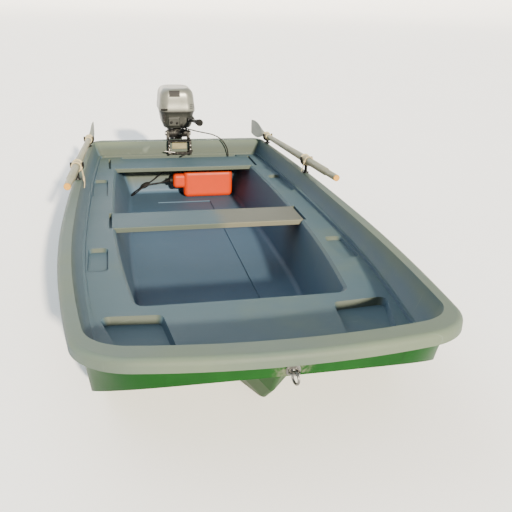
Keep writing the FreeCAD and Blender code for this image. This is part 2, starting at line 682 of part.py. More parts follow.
def ellipseWire(half, thick, height):
    if half >= thick:
        edge = Part.Ellipse(Vector(0, half, height), Vector(thick, 0, height), Vector(0, 0, height)).toShape()
    else:
        edge = Part.Circle(Vector(0, 0, height), Vector(0, 0, 1), thick).toShape()
    return Part.Wire([edge])


grip = size("GripLength")
loom = size("LoomRadius")
neck = size("NeckRadius")
collarLength = size("CollarLength")
bladeStart = size("OarLength") - size("BladeLength")
shaft = revolve([
    (0, 0), (size("GripRadius") - 2.0, 0), (size("GripRadius"), 3.0), (size("GripRadius"), grip),
    (loom, grip + 28.0), (loom, size("ForeCollarAt") + collarLength),
    (neck, size("AftCollarAt") - collarLength * 0.6),
    (neck, bladeStart + 14.0), (neck * 0.6, bladeStart + 30.0), (0, bladeStart + 30.0),
])
bladeHalf = size("BladeHalf")
bladeThick = size("BladeThick") / 2
bladeLength = size("BladeLength")
bladeSections = [
    (neck * 0.8, neck * 0.78, 0.0), (neck * 1.3, neck * 0.6, 0.14),
    (bladeHalf * 0.72, bladeThick * 1.35, 0.34), (bladeHalf, bladeThick, 0.62),
    (bladeHalf * 0.97, bladeThick * 0.8, 0.86), (bladeHalf * 0.88, bladeThick * 0.7, 1.0),
]
wires = []
for half, thick, share in bladeSections:
    height = bladeStart + share * bladeLength
    wires.append(ellipseWire(half + 0.01, thick, height))
blade = Part.makeLoft(wires, True, False)
oar = shaft.fuse(blade).removeSplitter()
for side, name in ((1, "port"), (-1, "starboard")):
    frame = oarFrame(side)
    keep(feature("Oar" + name, oar.copy(), frame), "oar_" + name)
    for label, at, radius, outerRadius in (
            ("fore", size("ForeCollarAt"), loom, collarFore), ("aft", size("AftCollarAt"), neck, collarAft)):
        low = at - collarLength / 2
        tube = Part.makeCylinder(outerRadius, collarLength, Vector(0, 0, low))
        button = Part.makeTorus(outerRadius - 1.0, size("ButtonRound"), Vector(0, 0, low + collarLength - 12.0))
        hole = Part.makeCylinder(radius + seatGap, collarLength + 40.0, Vector(0, 0, low - 20.0))
        collar = tube.fuse(button).cut(hole).removeSplitter()
        keep(feature("Collar" + label + name, collar, frame), "collar_%s_%s" % (label, name))
    rope = size("TieRope")
    tieRing = loom + seatGap + rope
    tieAt = size("ForeCollarAt") - collarLength / 2 - seatGap - rope
    tie = Part.makeSphere(size("TieKnot"), Vector(side * tieRing, -rope, tieAt - rope))
    for turn in range(int(size("TieTurns"))):
        tie = tie.fuse(Part.makeTorus(tieRing, rope, Vector(0, 0, tieAt - turn * rope * 1.85)))
    tie = tie.cut(Part.makeCylinder(loom + seatGap, 8 * rope, Vector(0, 0, tieAt - 6 * rope)))
    tie = tie.cut(Part.makeBox(200.0, 200.0, 40.0, Vector(-100.0, -100.0, tieAt + rope)))
    tie = max(tie.Solids, key=lambda solid: solid.Volume)
    keep(feature("RopeTie" + name, tie, frame), "rope_tie_" + name)

# Fuel tank lying on the floor under the aft thwart.
floor = size("FloorTop") + seatGap


def easedBox(length, deep, tall, corner, radius):
    body = Part.makeBox(length, deep, tall, corner)
    return body.makeFillet(radius, body.Edges)


tankBody = easedBox(size("TankLength"), size("TankDeep"), size("TankTall"),
                    Vector(size("TankEnd"), size("TankAt"), floor), size("TankRound"))
neckEnd = size("TankEnd") - size("NeckTankLength")
neckLow = floor + 72.0
neckTall = size("TankTall") * 0.52
shoulder = easedBox(size("NeckTankLength") + 60.0, size("TankDeep") - 26.0, neckTall,
                    Vector(neckEnd, size("TankAt") + 13.0, neckLow), 26.0)
neckCentre = Vector(neckEnd, size("TankAt") + size("TankDeep") / 2, neckLow + neckTall / 2)
tank = tankBody.fuse(shoulder).removeSplitter()
keep(feature("FuelTank", tank), "fuel_tank")
capStart = neckCentre - Vector(seatGap, 0, 0)
cap = Part.makeCylinder(size("CapRadius"), size("CapLength"), capStart, Vector(-1, 0, 0))
cap = cap.makeFillet(3.0, [cap.Edges[0], cap.Edges[2]])
keep(feature("TankCap", cap), "tank_cap")
spoutStart = neckCentre - Vector(seatGap * 2 + size("CapLength"), 0, 0)
spoutAxis = Vector(-1, 0, -0.25).normalize()
spout = Part.makeCone(16.0, 7.0, 34.0, spoutStart, spoutAxis)
spoutEnd = spoutStart + spoutAxis * 34.0
spout = spout.common(Part.makeBox(200, 200, 200, spoutStart - Vector(200, 100, 100)))
keep(feature("TankSpout", spout), "tank_spout")

# Outboard motor. The clamp bracket hooks over the transom.


def polygonWire(corners, radius):
    """Closed flat outline, every corner rounded as far as its sides allow."""
    arcs = []
    count = len(corners)
    for index, corner in enumerate(corners):
        before = corners[index - 1] - corner
        after = corners[(index + 1) % count] - corner
        angle = before.getAngle(after)
        trim = min(radius / math.tan(angle / 2), before.Length * 0.48, after.Length * 0.48)
        used = trim * math.tan(angle / 2)
        before = before.normalize()
        after = after.normalize()
        inward = (before + after).normalize()
        middle = corner + inward * (used / math.sin(angle / 2) - used)
        arcs.append((corner + before * trim, middle, corner + after * trim))
    wire = []
    for index, arc in enumerate(arcs):
        following = arcs[(index + 1) % count]
        wire.append(Part.Arc(*arc).toShape())
        wire.append(Part.LineSegment(arc[2], following[0]).toShape())
    return Part.Wire(wire)


def sidePlate(points, radius, left, width):
    """Plate across the beam from a side outline of Y and Z."""
    wire = polygonWire([Vector(left, y, z) for y, z in points], radius)
    return Part.Face(wire).extrude(Vector(width, 0, 0))


def levelPlate(points, radius, low, thick):
    """Plate lying level from an outline of X and Y."""
    wire = polygonWire([Vector(x, y, low) for x, y in points], radius)
    return Part.Face(wire).extrude(Vector(0, 0, thick))


def levelSection(half, front, back, radius, z):
    corners = [Vector(-half, front, z), Vector(half, front, z), Vector(half, back, z), Vector(-half, back, z)]
    return polygonWire(corners, radius)


tiltAt = size("TiltAt")
tiltHeight = size("TiltHeight")
steerAt = size("SteerAt")
lipTopAft = sheerHeight(size("SternReach")) + seatGap
sternFace = size("SternReach") + seatGap
screwLeg = size("TransomInner") - 57.0
hookTop = lipTopAft + size("HookThick")
legLow = lipTopAft - size("ClampDrop")
cheekOutline = [
    (screwLeg, size("ScrewHeight") - 30.0), (screwLeg, lipTopAft + 2.0), (screwLeg + 10.0, hookTop),
    (tiltAt - 38.0, hookTop), (tiltAt - 18.0, tiltHeight + 22.0), (tiltAt + 18.0, tiltHeight + 22.0),
    (sternFace + 36.0, tiltHeight - 20.0), (sternFace + 34.0, lipTopAft - 60.0), (sternFace + 22.0, legLow),
    (sternFace, legLow), (sternFace, lipTopAft), (screwLeg + 22.0, lipTopAft),
    (screwLeg + 22.0, size("ScrewHeight") - 30.0),
]
cheekInner = size("CheekInner")
cheekThick = size("CheekThick")
bracket = sidePlate(cheekOutline, 7.0, cheekInner, cheekThick)
bracket = bracket.fuse(sidePlate(cheekOutline, 7.0, -cheekInner - cheekThick, cheekThick))
bridge = Part.makeBox(2 * cheekInner + 2.0, 62.0, size("HookThick") - 4.0,
                      Vector(-cheekInner - 1.0, screwLeg + 6.0, lipTopAft))
bracket = bracket.fuse(bridge)
lowBar = Part.makeBox(2 * cheekInner + 2.0, 12.0, 18.0,
                      Vector(-cheekInner - 1.0, screwLeg + 4.0, size("ScrewHeight") - 24.0))
bracket = bracket.fuse(lowBar)
bracket = bracket.cut(Part.makeCylinder(size("TiltTube") + play, 400.0,
                                        Vector(-200.0, tiltAt, tiltHeight), Vector(1, 0, 0)))
screwSide = cheekInner + cheekThick / 2
for side in (-1, 1):
    at = Vector(side * screwSide, screwLeg, size("ScrewHeight"))
    boss = Part.makeCylinder(14.0, 22.0, at, Vector(0, 1, 0))
    hole = Part.makeCylinder(size("ScrewRadius") + seatGap, 80.0, at - Vector(0, 20.0, 0), Vector(0, 1, 0))
    bracket = bracket.fuse(boss).cut(hole)
keep(feature("ClampBracket", bracket.removeSplitter()), "clamp_bracket")

padFace = transomInner - seatGap
screwForms = [
    (1, "port", 26.0, 80.0, 16.0, 6.0),
    (-1, "starboard", -8.0, 39.0, 39.0, 4.5),
]
for side, name, lean, arm, tail, barRadius in screwForms:
    base = Vector(side * screwSide, 0, size("ScrewHeight"))
    pad = Part.makeCylinder(17.0, 5.0, base + Vector(0, padFace - 5.0, 0), Vector(0, 1, 0))
    thread = Part.makeCylinder(size("ScrewRadius"), padFace - 5.0 - (screwLeg - 22.0),
                               base + Vector(0, screwLeg - 22.0, 0), Vector(0, 1, 0))
    turn = math.radians(lean)
    across = Vector(math.cos(turn), 0, math.sin(turn))
    barEnd = base + Vector(0, screwLeg - 16.0, 0) - across * arm
    bar = Part.makeCylinder(barRadius, arm + tail, barEnd, across)
    hub = Part.makeCylinder(11.0, 14.0, base + Vector(0, screwLeg - 23.0, 0), Vector(0, 1, 0))
    screw = pad.fuse(thread).fuse(bar).fuse(hub).removeSplitter()
    keep(feature("ClampScrew" + name, screw), "clamp_screw_" + name)

boardHalf = 56.0
boardThick = 7.7
board = Part.makeBox(2 * boardHalf, boardThick, 58.0, Vector(-boardHalf, padFace - boardThick, lipTopAft - 62.0))
board = board.makeFillet(3.0, [edge for edge in board.Edges if edge.CenterOfMass.y < padFace - 7.0])
keep(feature("TransomPad", board), "transom_pad")

tubeHalf = cheekInner + cheekThick + 12.0
tubeEnd = Vector(-tubeHalf, tiltAt, tiltHeight)
tiltTube = Part.makeCylinder(size("TiltTube"), 2 * tubeHalf, tubeEnd, Vector(1, 0, 0))
for side in (-1, 1):
    nutStart = Vector(side * (cheekInner + cheekThick + seatGap), tiltAt, tiltHeight)
    tiltTube = tiltTube.fuse(Part.makeCylinder(18.0, 9.0, nutStart, Vector(side, 0, 0)))
keep(feature("TiltTube", tiltTube.removeSplitter()), "tilt_tube")

# Swivel bracket between the cheeks.
swivelTop = tiltHeight - 12.0
swivelLow = lipTopAft - 250.0
steerTube = Part.makeCylinder(size("SteerShaft") + 14.0, swivelTop - swivelLow, Vector(0, steerAt, swivelLow))
webFront = sternFace + 16.0
web = sidePlate([
    (tiltAt - 4.0, tiltHeight + 12.0), (tiltAt - 4.0, tiltHeight - 14.0), (webFront, lipTopAft - 6.0),
    (webFront, lipTopAft - 60.0), (steerAt - 28.0, swivelLow + 10.0), (steerAt, swivelLow + 10.0),
    (steerAt, swivelTop), (steerAt - 46.0, swivelTop), (tiltAt + 20.0, tiltHeight + 14.0),
], 6.0, -24.0, 48.0)
knuckle = Part.makeCylinder(size("KnuckleRadius"), 2 * (cheekInner - 2.0),
                            Vector(-cheekInner + 2.0, tiltAt, tiltHeight), Vector(1, 0, 0))
swivel = steerTube.fuse(web).fuse(knuckle)
swivel = swivel.cut(Part.makeCylinder(size("TiltTube") + play, 400.0,
                                      Vector(-200.0, tiltAt, tiltHeight), Vector(1, 0, 0)))
swivel = swivel.cut(Part.makeCylinder(size("SteerShaft") + play, 600.0,
                                      Vector(0, steerAt, swivelLow - 50.0)))
keep(feature("SwivelBracket", swivel.removeSplitter()), "swivel_bracket")

# Steering shaft with the mounts that carry the motor.
legFront = steerAt + 40.0
panLow = size("PanLow")
shaftLow = swivelLow - 44.0
steering = Part.makeCylinder(size("SteerShaft"), panLow - seatGap - shaftLow, Vector(0, steerAt, shaftLow))
upper = levelPlate([
    (-30.0, steerAt - 26.0), (30.0, steerAt - 26.0), (48.0, legFront - seatGap), (-48.0, legFront - seatGap),
], 10.0, swivelTop + seatGap, panLow - seatGap * 2 - swivelTop)
lower = levelPlate([
    (-22.0, steerAt - 22.0), (22.0, steerAt - 22.0), (26.0, legFront + 2.0), (-26.0, legFront + 2.0),
], 8.0, shaftLow, swivelLow - seatGap - shaftLow)
steering = steering.fuse(upper).fuse(lower)

leg = Part.makeLoft([
    levelSection(78.0, legFront, legFront + 176.0, 40.0, panLow - seatGap),
    levelSection(58.0, legFront, legFront + 160.0, 32.0, panLow - 70.0),
    levelSection(36.0, legFront + 2.0, legFront + 134.0, 24.0, panLow - 200.0),
    levelSection(31.0, legFront + 4.0, legFront + 126.0, 22.0, 60.0),
    levelSection(33.0, legFront, legFront + 140.0, 24.0, size("PlateHeight") + 8.0 + seatGap),
], True, False)
steering = steering.cut(leg)
steering = max(steering.Solids, key=lambda solid: solid.Volume)
keep(feature("SteeringShaft", steering.removeSplitter()), "steering_shaft")
keep(feature("Leg", leg), "leg")

# Gear case with its plate and skeg.
plateHeight = size("PlateHeight")
shaftHeight = size("ShaftHeight")
gearRadius = size("GearRadius")
propAt = size("PropAt")
caseEnd = propAt - 1.0
cover = levelPlate([
    (-34.0, legFront - 8.0), (34.0, legFront - 8.0), (96.0, legFront + 90.0), (92.0, legFront + 226.0),
    (-92.0, legFront + 226.0), (-96.0, legFront + 90.0),
], 30.0, plateHeight, 8.0)
strut = Part.makeLoft([
    levelSection(31.0, legFront, legFront + 140.0, 26.0, plateHeight + 1.0),
    levelSection(24.0, legFront - 8.0, legFront + 128.0, 22.0, shaftHeight + 60.0),
    levelSection(22.0, legFront - 12.0, legFront + 122.0, 20.0, shaftHeight),
], True, False)
caseNose = legFront - 42.0
case = revolve([
    (0, 0), (gearRadius * 0.34, 5.0), (gearRadius * 0.68, 24.0), (gearRadius * 0.9, 52.0), (gearRadius, 86.0),
    (gearRadius, caseEnd - caseNose - 60.0), (gearRadius * 0.84, caseEnd - caseNose), (0, caseEnd - caseNose),
])
case.Placement = Placement(Vector(0, caseNose, shaftHeight), Rotation(Vector(0, 0, 1), Vector(0, 1, 0)))
skegLow = shaftHeight - 142.0
skeg = sidePlate([
    (legFront - 20.0, shaftHeight), (legFront + 34.0, shaftHeight - 96.0), (legFront + 66.0, skegLow),
    (legFront + 96.0, skegLow), (legFront + 118.0, shaftHeight),
], 14.0, -4.5, 9.0)
gear = cover.fuse(strut).fuse(case).fuse(skeg)
propShaft = 9.0
gear = gear.cut(Part.makeCylinder(propShaft + play, 60.0,
                                  Vector(0, caseEnd - 50.0, shaftHeight), Vector(0, 1, 0)))
keep(feature("GearCase", gear.removeSplitter()), "gear_case")

# Propeller on its shaft.


def bladeWire(radius, chord, thick):
    """Lens section of a blade at one radius, set at the pitch."""
    twist = math.atan(size("PropPitch") / (2 * math.pi * radius))
    points = []
    for along, off in ((-0.5, 0.0), (0.0, 0.5), (0.5, 0.0), (0.0, -0.5)):
        across = along * chord * math.cos(twist) - off * thick * math.sin(twist)
        axial = along * chord * math.sin(twist) + off * thick * math.cos(twist)
        points.append(Vector(across, axial, radius))
    return Part.Wire([Part.Arc(*points[:3]).toShape(), Part.Arc(points[2], points[3], points[0]).toShape()])


hubRadius = size("HubRadius")
propRadius = size("PropRadius")
hubLength = size("HubLength")
hub = revolve([
    (0, 0), (hubRadius * 0.95, 0), (hubRadius, 8.0), (hubRadius, hubLength), (hubRadius * 0.6, hubLength),
    (hubRadius * 0.42, hubLength + 16.0), (0, hubLength + 16.0),
])
hub.Placement = Placement(Vector(0, propAt, shaftHeight), Rotation(Vector(0, 0, 1), Vector(0, 1, 0)))
bladeShares = [(0.8, 0.42, 7.0), (1.5, 0.6, 6.0), (2.4, 0.72, 4.6), (3.2, 0.6, 3.4), (3.74, 0.2, 2.4)]
shaftEnd = Vector(0, propAt - 45.0, shaftHeight)
propeller = hub.fuse(Part.makeCylinder(propShaft, 46.0, shaftEnd, Vector(0, 1, 0)))
for index in range(int(size("BladeCount"))):
    wires = [bladeWire(hubRadius * share, propRadius * chord, thick) for share, chord, thick in bladeShares]
    vane = Part.makeLoft(wires, True, True)
    vane.translate(Vector(0, propAt + hubLength / 2, shaftHeight))
    vane.rotate(Vector(0, propAt, shaftHeight), Vector(0, 1, 0), 360.0 * index / size("BladeCount"))
    propeller = propeller.fuse(vane)
keep(feature("Propeller", propeller.removeSplitter()), "propeller")

# Lower pan, cowl and the engine inside.
cowlHalf = size("CowlHalf")
cowlFront = size("CowlFront")
cowlBack = cowlFront + size("CowlLength")
cowlLow = size("CowlLow")
pan = Part.makeLoft([
    levelSection(cowlHalf - 38.0, cowlFront + 26.0, cowlBack - 60.0, 55.0, panLow),
    levelSection(cowlHalf - 22.0, cowlFront + 14.0, cowlBack - 34.0, 60.0, panLow + 34.0),
    levelSection(cowlHalf - 6.0, cowlFront + 6.0, cowlBack - 6.0, 66.0, cowlLow - 10.0),
    levelSection(cowlHalf - 1.0, cowlFront + 1.0, cowlBack - 1.0, 67.0, cowlLow - seatGap),
], True, False)
keep(feature("LowerPan", pan), "lower_pan")


def cowlShape(inset, low):
    top = size("CowlTop") - inset
    shares = [
        (1.0, 0.0, 0.0, 0.0), (0.985, 2.0, 2.0, 0.30), (0.95, 6.0, 8.0, 0.62), (0.88, 14.0, 22.0, 0.84),
        (0.76, 30.0, 46.0, 0.955), (0.6, 56.0, 80.0, 1.0),
    ]
    wires = []
    for width, front, back, share in shares:
        height = low if share == 0.0 else cowlLow + share * (top - cowlLow)
        wires.append(levelSection(cowlHalf * width - inset, cowlFront + front + inset,
                                  cowlBack - back - inset, 68.0 - inset, height))
    return Part.makeLoft(wires, True, False)


cowl = cowlShape(0.0, cowlLow).cut(cowlShape(size("CowlWall"), cowlLow - 3.0))
keep(feature("TopCowl", cowl), "top_cowl")
engineHalf = 85.0
engine = Part.makeBox(2 * engineHalf, 230.0, 115.0, Vector(-engineHalf, cowlFront + 78.0, cowlLow))
keep(feature("Engine", engine.makeFillet(8.0, engine.Edges)), "engine")

# Controls on the motor's front.
panFace = cowlFront + 6.0
panel = Part.makeBox(86.0, 24.0, 68.0, Vector(-72.0, panFace - 8.0, panLow + 20.0))
panel = panel.makeFillet(6.0, [edge for edge in panel.Edges if edge.CenterOfMass.y < panFace - 7.0])
panel = panel.cut(pan)
panel = max(panel.Solids, key=lambda solid: solid.Volume)
keep(feature("FrontPanel", panel), "front_panel")
for name, side, height, radius in (("choke", -50.0, 52.0, 9.0), ("stop", -6.0, 46.0, 8.0)):
    at = Vector(side, panFace - 8.0 - seatGap, panLow + height)
    stalk = Part.makeCylinder(radius * 0.45, 10.0, at, Vector(0, -1, 0))
    head = Part.makeCylinder(radius, 10.0, at - Vector(0, 7.7, 0), Vector(0, -1, 0))
    head = head.makeFillet(2.0, [head.Edges[0], head.Edges[2]])
    keep(feature("Knob" + name, stalk.fuse(head).removeSplitter()), "knob_" + name)

leverAt = Vector(size("ShiftSide"), panFace - size("ShiftThick") - 12.0, size("ShiftLow"))
lever = easedBox(size("ShiftWide"), size("ShiftThick"), size("ShiftTall"), leverAt, 2.5)
pivotAt = leverAt + Vector(size("ShiftWide") / 2, size("ShiftThick") / 2, size("ShiftTall") * 0.3)
pivot = Part.makeCylinder(size("ShiftWide") / 2 - 1.5, 90.0, pivotAt, Vector(0, 1, 0))
lever = lever.fuse(pivot.cut(pan.makeOffsetShape(seatGap, 0.01)))
lever = min(lever.Solids, key=lambda solid: solid.CenterOfMass.y)
keep(feature("ShiftLever", lever.removeSplitter()), "shift_lever")

handleAt = Vector(-103.0, cowlFront - 12.0, cowlLow + 24.0)
teeHalf = 26.0
tee = Part.makeCylinder(7.0, 2 * teeHalf, handleAt - Vector(teeHalf, 0, 0), Vector(1, 0, 0))
tee = tee.makeFillet(3.0, [tee.Edges[0], tee.Edges[2]])
teeStem = Part.makeCone(8.0, 5.0, 26.0, handleAt, Vector(0, 1, 0))
teeStem = teeStem.cut(cowlShape(-seatGap, cowlLow - 3.0))
teeStem = max(teeStem.Solids, key=lambda solid: solid.Volume)
keep(feature("StarterHandle", tee.fuse(teeStem).removeSplitter()), "starter_handle")

tillerAt = size("TillerAt")
tillerHeight = size("TillerHeight")
tillerSide = size("TillerSide")
gripRadius = size("TillerGrip")
yokeRadius = size("YokeRadius")
armHalf = 13.0
yokeHalf = armHalf + 12.0
pivotRadius = 6.0
yokeEnd = Vector(tillerSide - yokeHalf, tillerAt, tillerHeight)
yoke = Part.makeBox(2 * yokeHalf, 90.0, 2 * yokeRadius, yokeEnd - Vector(0, 0, yokeRadius))
yoke = yoke.fuse(Part.makeCylinder(yokeRadius, 2 * yokeHalf, yokeEnd, Vector(1, 0, 0)))
gapHalf = armHalf + seatGap
slotTall = 60.0
slotCorner = Vector(tillerSide - gapHalf, tillerAt - 2 * yokeRadius + 14.0, tillerHeight - slotTall / 2)
yoke = yoke.cut(Part.makeBox(2 * gapHalf, yokeRadius + 32.0, slotTall, slotCorner))
yoke = yoke.cut(pan).cut(cowlShape(-1.0, cowlLow - 3.0))
yoke = max(yoke.Solids, key=lambda solid: solid.Volume)
yoke = yoke.cut(Part.makeCylinder(pivotRadius + play, 2 * yokeHalf, yokeEnd, Vector(1, 0, 0)))
keep(feature("TillerBracket", yoke.removeSplitter()), "tiller_bracket")

gripLength = 146.0
armLength = size("TillerLength") - gripLength - 4.0
armTall = 22.0
arm = Part.makeBox(2 * armHalf, armLength, armTall, Vector(-armHalf, -armLength, -armTall / 2))
arm = arm.makeFillet(5.0, [edge for edge in arm.Edges if edge.BoundBox.YLength > armLength / 2])
eyeEnd = Part.makeCylinder(11.5, 2 * armHalf, Vector(-armHalf, 0, 0), Vector(1, 0, 0))
pin = Part.makeCylinder(pivotRadius, 2 * yokeHalf, Vector(-yokeHalf, 0, 0), Vector(1, 0, 0))
tiller = arm.fuse(eyeEnd).fuse(pin)
tillerRise = Rotation(Vector(1, 0, 0), -size("TillerRise"))
tillerTurn = Placement(Vector(tillerSide, tillerAt, tillerHeight), tillerRise)
keep(feature("TillerArm", tiller.removeSplitter(), tillerTurn), "tiller_arm")
handle = revolve([
    (0, 0), (gripRadius - 3.0, 0), (gripRadius - 1.0, 5.0), (gripRadius - 2.0, 110.0), (gripRadius + 4.0, 122.0),
    (gripRadius + 4.0, 138.0), (gripRadius, gripLength), (0, gripLength),
])
gripPlace = Placement(Vector(0, -armLength - seatGap, 0), Rotation(Vector(0, 0, 1), Vector(0, -1, 0)))
keep(feature("TillerGrip", handle, tillerTurn.multiply(gripPlace)), "tiller_grip")

# Fuel hose: from the motor over the transom, down behind the aft thwart, over the tank, down to
# the priming bulb on the floor and back to the tank's spout.


def hose(name, label, points, radius):
    """Tube along straight runs joined by tangent arcs as wide as the runs allow."""
    edges = []
    start = points[0]
    radii = []
    for before, corner, after in zip(points, points[1:], points[2:]):
        back = before - corner
        on = after - corner
        trim = 0.45 * min(back.Length, on.Length)
        turn = math.pi - back.getAngle(on)
        bend = trim / math.tan(turn / 2)
        radii.append(bend)
        enter = corner + back.normalize() * trim
        leave = corner + on.normalize() * trim
        middle = corner + (back + on).normalize() * (bend / math.cos(turn / 2) - bend)
        edges.append(Part.LineSegment(start, enter).toShape())
        edges.append(Part.Arc(enter, middle, leave).toShape())
        start = leave
    edges.append(Part.LineSegment(start, points[-1]).toShape())
    path = Part.Wire(edges)
    section = Part.Wire([Part.Circle(points[0], points[1] - points[0], radius).toShape()])
    tube = path.makePipeShell([section], True, False)
    share = tube.Volume / (math.pi * radius ** 2 * path.Length)
    print("%s length %.0f, smallest radius %.1f, volume share %.3f" % (label, path.Length, min(radii), share))
    return keep(feature(name, tube), label)


def ahead(points):
    """Places given by X, the distance ahead of the stern and Z."""
    return [Vector(x * size("FitOut"), size("SternReach") - back, z) for x, back, z in points]


hoseRadius = size("HoseRadius")
plugAt = Vector(30.5, panFace + 22.0, panLow + 21.5)
motorRoute = [Vector(plugAt.x, size("SternReach") - 28.6, plugAt.z)] + ahead([
    (32, 62, 461), (55, 89, 456), (96, 99, 446), (140, 101, 434), (190, 105, 424.5), (244, 111, 414),
    (292, 118, 396), (329, 123, 368), (357, 125, 327), (373, 124, 287), (376, 122, 250),
])
plugLength = plugAt.y - motorRoute[0].y - 0.9
plug = Part.makeCylinder(7.5, plugLength, plugAt, Vector(0, -1, 0))
plug = plug.fuse(Part.makeCylinder(10.0, 12.0, plugAt - Vector(0, 4.0, 0), Vector(0, -1, 0)))
plug = plug.cut(pan)
plug = min(plug.Solids, key=lambda solid: solid.CenterOfMass.y)
keep(feature("HosePlug", plug.removeSplitter()), "hose_plug")

bulbStart = ahead([(-238, 147, 56)])[0]
bulbAxis = Vector(-0.86, 0, -0.51).normalize()
bulbEnd = bulbStart + bulbAxis * size("BulbLength")
tankTop = floor + size("TankTall") + hoseRadius + seatGap
mainRoute = [motorRoute[-1]] + ahead([
    (378.4, 120.4, 220.4), (366, 128, 191), (341, 143, tankTop + 1.0), (308, 163, tankTop), (262, 189, tankTop),
    (211, 212, tankTop), (150, 224, tankTop), (84, 225, tankTop), (20, 216, tankTop), (-42, 199, 172),
    (-97, 179, 159), (-142, 162, 133), (-177, 150, 102),
]) + [bulbStart - bulbAxis * 34.0, bulbStart]
tankRoute = [spoutEnd, spoutEnd + spoutAxis * 32.0] + ahead([
    (-200, 238, 72), (-246, 245, 67), (-290, 253, 50), (-328, 259, 24), (-359, 252, -4), (-379, 226, -23),
    (-384, 193, -28), (-369, 162, -22),
]) + [bulbEnd + bulbAxis * 30.0, bulbEnd]
hose("HoseMotor", "hose_motor", motorRoute, hoseRadius)
hose("HoseMain", "hose_main", mainRoute, hoseRadius)
hose("HoseTank", "hose_tank", tankRoute, hoseRadius)
bulbRadius = size("BulbRadius")
bulbLength = size("BulbLength")
bulb = revolve([
    (0, 0), (8.0, 0), (8.0, 10.0), (bulbRadius * 0.7, 14.0), (bulbRadius, 30.0), (bulbRadius, bulbLength - 30.0),
    (bulbRadius * 0.7, bulbLength - 14.0), (8.0, bulbLength - 10.0), (8.0, bulbLength), (0, bulbLength),
])
keep(feature("PrimerBulb", bulb, Placement(bulbStart, Rotation(Vector(0, 0, 1), bulbAxis))), "primer_bulb")

doc.recompute()
os.makedirs("parts", exist_ok=True)
problems = []
for obj in doc.Objects:
    if "Invalid" in obj.State or "Error" in obj.State:
        problems.append(obj.Name + " failed")
for obj in nodes:
    if obj.Shape.isNull() or not obj.Shape.isValid():
        problems.append(obj.Label + " has no valid shape")
if problems:
    raise RuntimeError("; ".join(problems))
for obj in nodes:
    obj.Shape.exportStep(os.path.join("parts", obj.Label + ".step"))
    box = obj.Shape.BoundBox
    print(obj.Label, len(obj.Shape.Solids), round(obj.Shape.Volume / 1e3), "cm3",
          [round(value) for value in (box.XMin, box.YMin, box.ZMin, box.XMax, box.YMax, box.ZMax)])
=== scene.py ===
# Small rowing boat with an outboard motor: finishes, fuel hoses, ties and small fittings.
import math

import bmesh
import bpy
from mathutils import Matrix, Vector


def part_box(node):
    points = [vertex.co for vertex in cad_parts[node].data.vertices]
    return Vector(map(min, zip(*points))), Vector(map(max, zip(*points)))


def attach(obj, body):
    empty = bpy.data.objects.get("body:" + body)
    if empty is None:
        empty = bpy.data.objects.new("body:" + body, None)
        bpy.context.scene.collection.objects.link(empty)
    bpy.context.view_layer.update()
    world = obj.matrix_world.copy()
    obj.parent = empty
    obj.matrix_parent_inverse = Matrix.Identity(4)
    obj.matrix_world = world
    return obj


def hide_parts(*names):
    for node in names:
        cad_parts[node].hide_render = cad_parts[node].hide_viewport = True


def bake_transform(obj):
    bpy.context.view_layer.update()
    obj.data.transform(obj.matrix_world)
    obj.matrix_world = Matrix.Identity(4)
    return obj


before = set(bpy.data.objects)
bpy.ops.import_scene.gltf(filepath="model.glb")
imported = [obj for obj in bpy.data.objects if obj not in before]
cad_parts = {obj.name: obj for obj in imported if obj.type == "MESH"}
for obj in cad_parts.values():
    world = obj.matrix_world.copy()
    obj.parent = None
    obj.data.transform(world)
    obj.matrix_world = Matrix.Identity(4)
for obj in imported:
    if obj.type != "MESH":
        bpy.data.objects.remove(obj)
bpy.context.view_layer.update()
print("boat loaded:", len(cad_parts), "nodes")

# Camera at the photograph's view: standing ahead of the bow, a little to starboard.
cameraPlan = {"place": (-0.478, -3.210, 1.353), "turn": 12.83, "down": 21.68, "roll": 1.53, "lens": 44.51}


def placeCamera(plan):
    turn, down, roll = (math.radians(plan[key]) for key in ("turn", "down", "roll"))
    forward = Vector((math.sin(turn) * math.cos(down), math.cos(turn) * math.cos(down), -math.sin(down)))
    level = Vector((math.cos(turn), -math.sin(turn), 0))
    upright = level.cross(forward)
    across = level * math.cos(roll) + upright * math.sin(roll)
    rise = upright * math.cos(roll) - level * math.sin(roll)
    data = bpy.data.cameras.new("boatCamera")
    data.lens = plan["lens"]
    data.sensor_width = 36
    camera = bpy.data.objects.new("boatCamera", data)
    bpy.context.scene.collection.objects.link(camera)
    facing = Matrix((across, rise, -forward)).transposed().to_4x4()
    camera.matrix_world = Matrix.Translation(plan["place"]) @ facing
    bpy.context.scene.camera = camera


placeCamera(cameraPlan)
print("camera placed")


# Shader maths: a Field is one output socket, and operators on it add Math nodes.
class Field:
    def __init__(self, finish, socket):
        self.finish = finish
        self.socket = socket

    def joined(self, operation, *values):
        return self.finish.node("Math", {"operation": operation}, values)

    def __add__(self, other):
        return self.joined("ADD", self, other)

    def __mul__(self, other):
        return self.joined("MULTIPLY", self, other)

    def __sub__(self, other):
        return self.joined("SUBTRACT", self, other)

    def __rsub__(self, other):
        return self.joined("SUBTRACT", other, self)

    __radd__ = __add__
    __rmul__ = __mul__

    def magnitude(self):
        return self.joined("ABSOLUTE", self)

    def larger(self, other):
        return self.joined("MAXIMUM", self, other)

    def ramp(self, low, high):
        settings = {"interpolation_type": "SMOOTHSTEP"}
        return self.finish.node("MapRange", settings, {"Value": self, "From Min": low, "From Max": high})

    def band(self, low, high, soft):
        return self.ramp(low, low + soft) * (1.0 - self.ramp(high - soft, high))


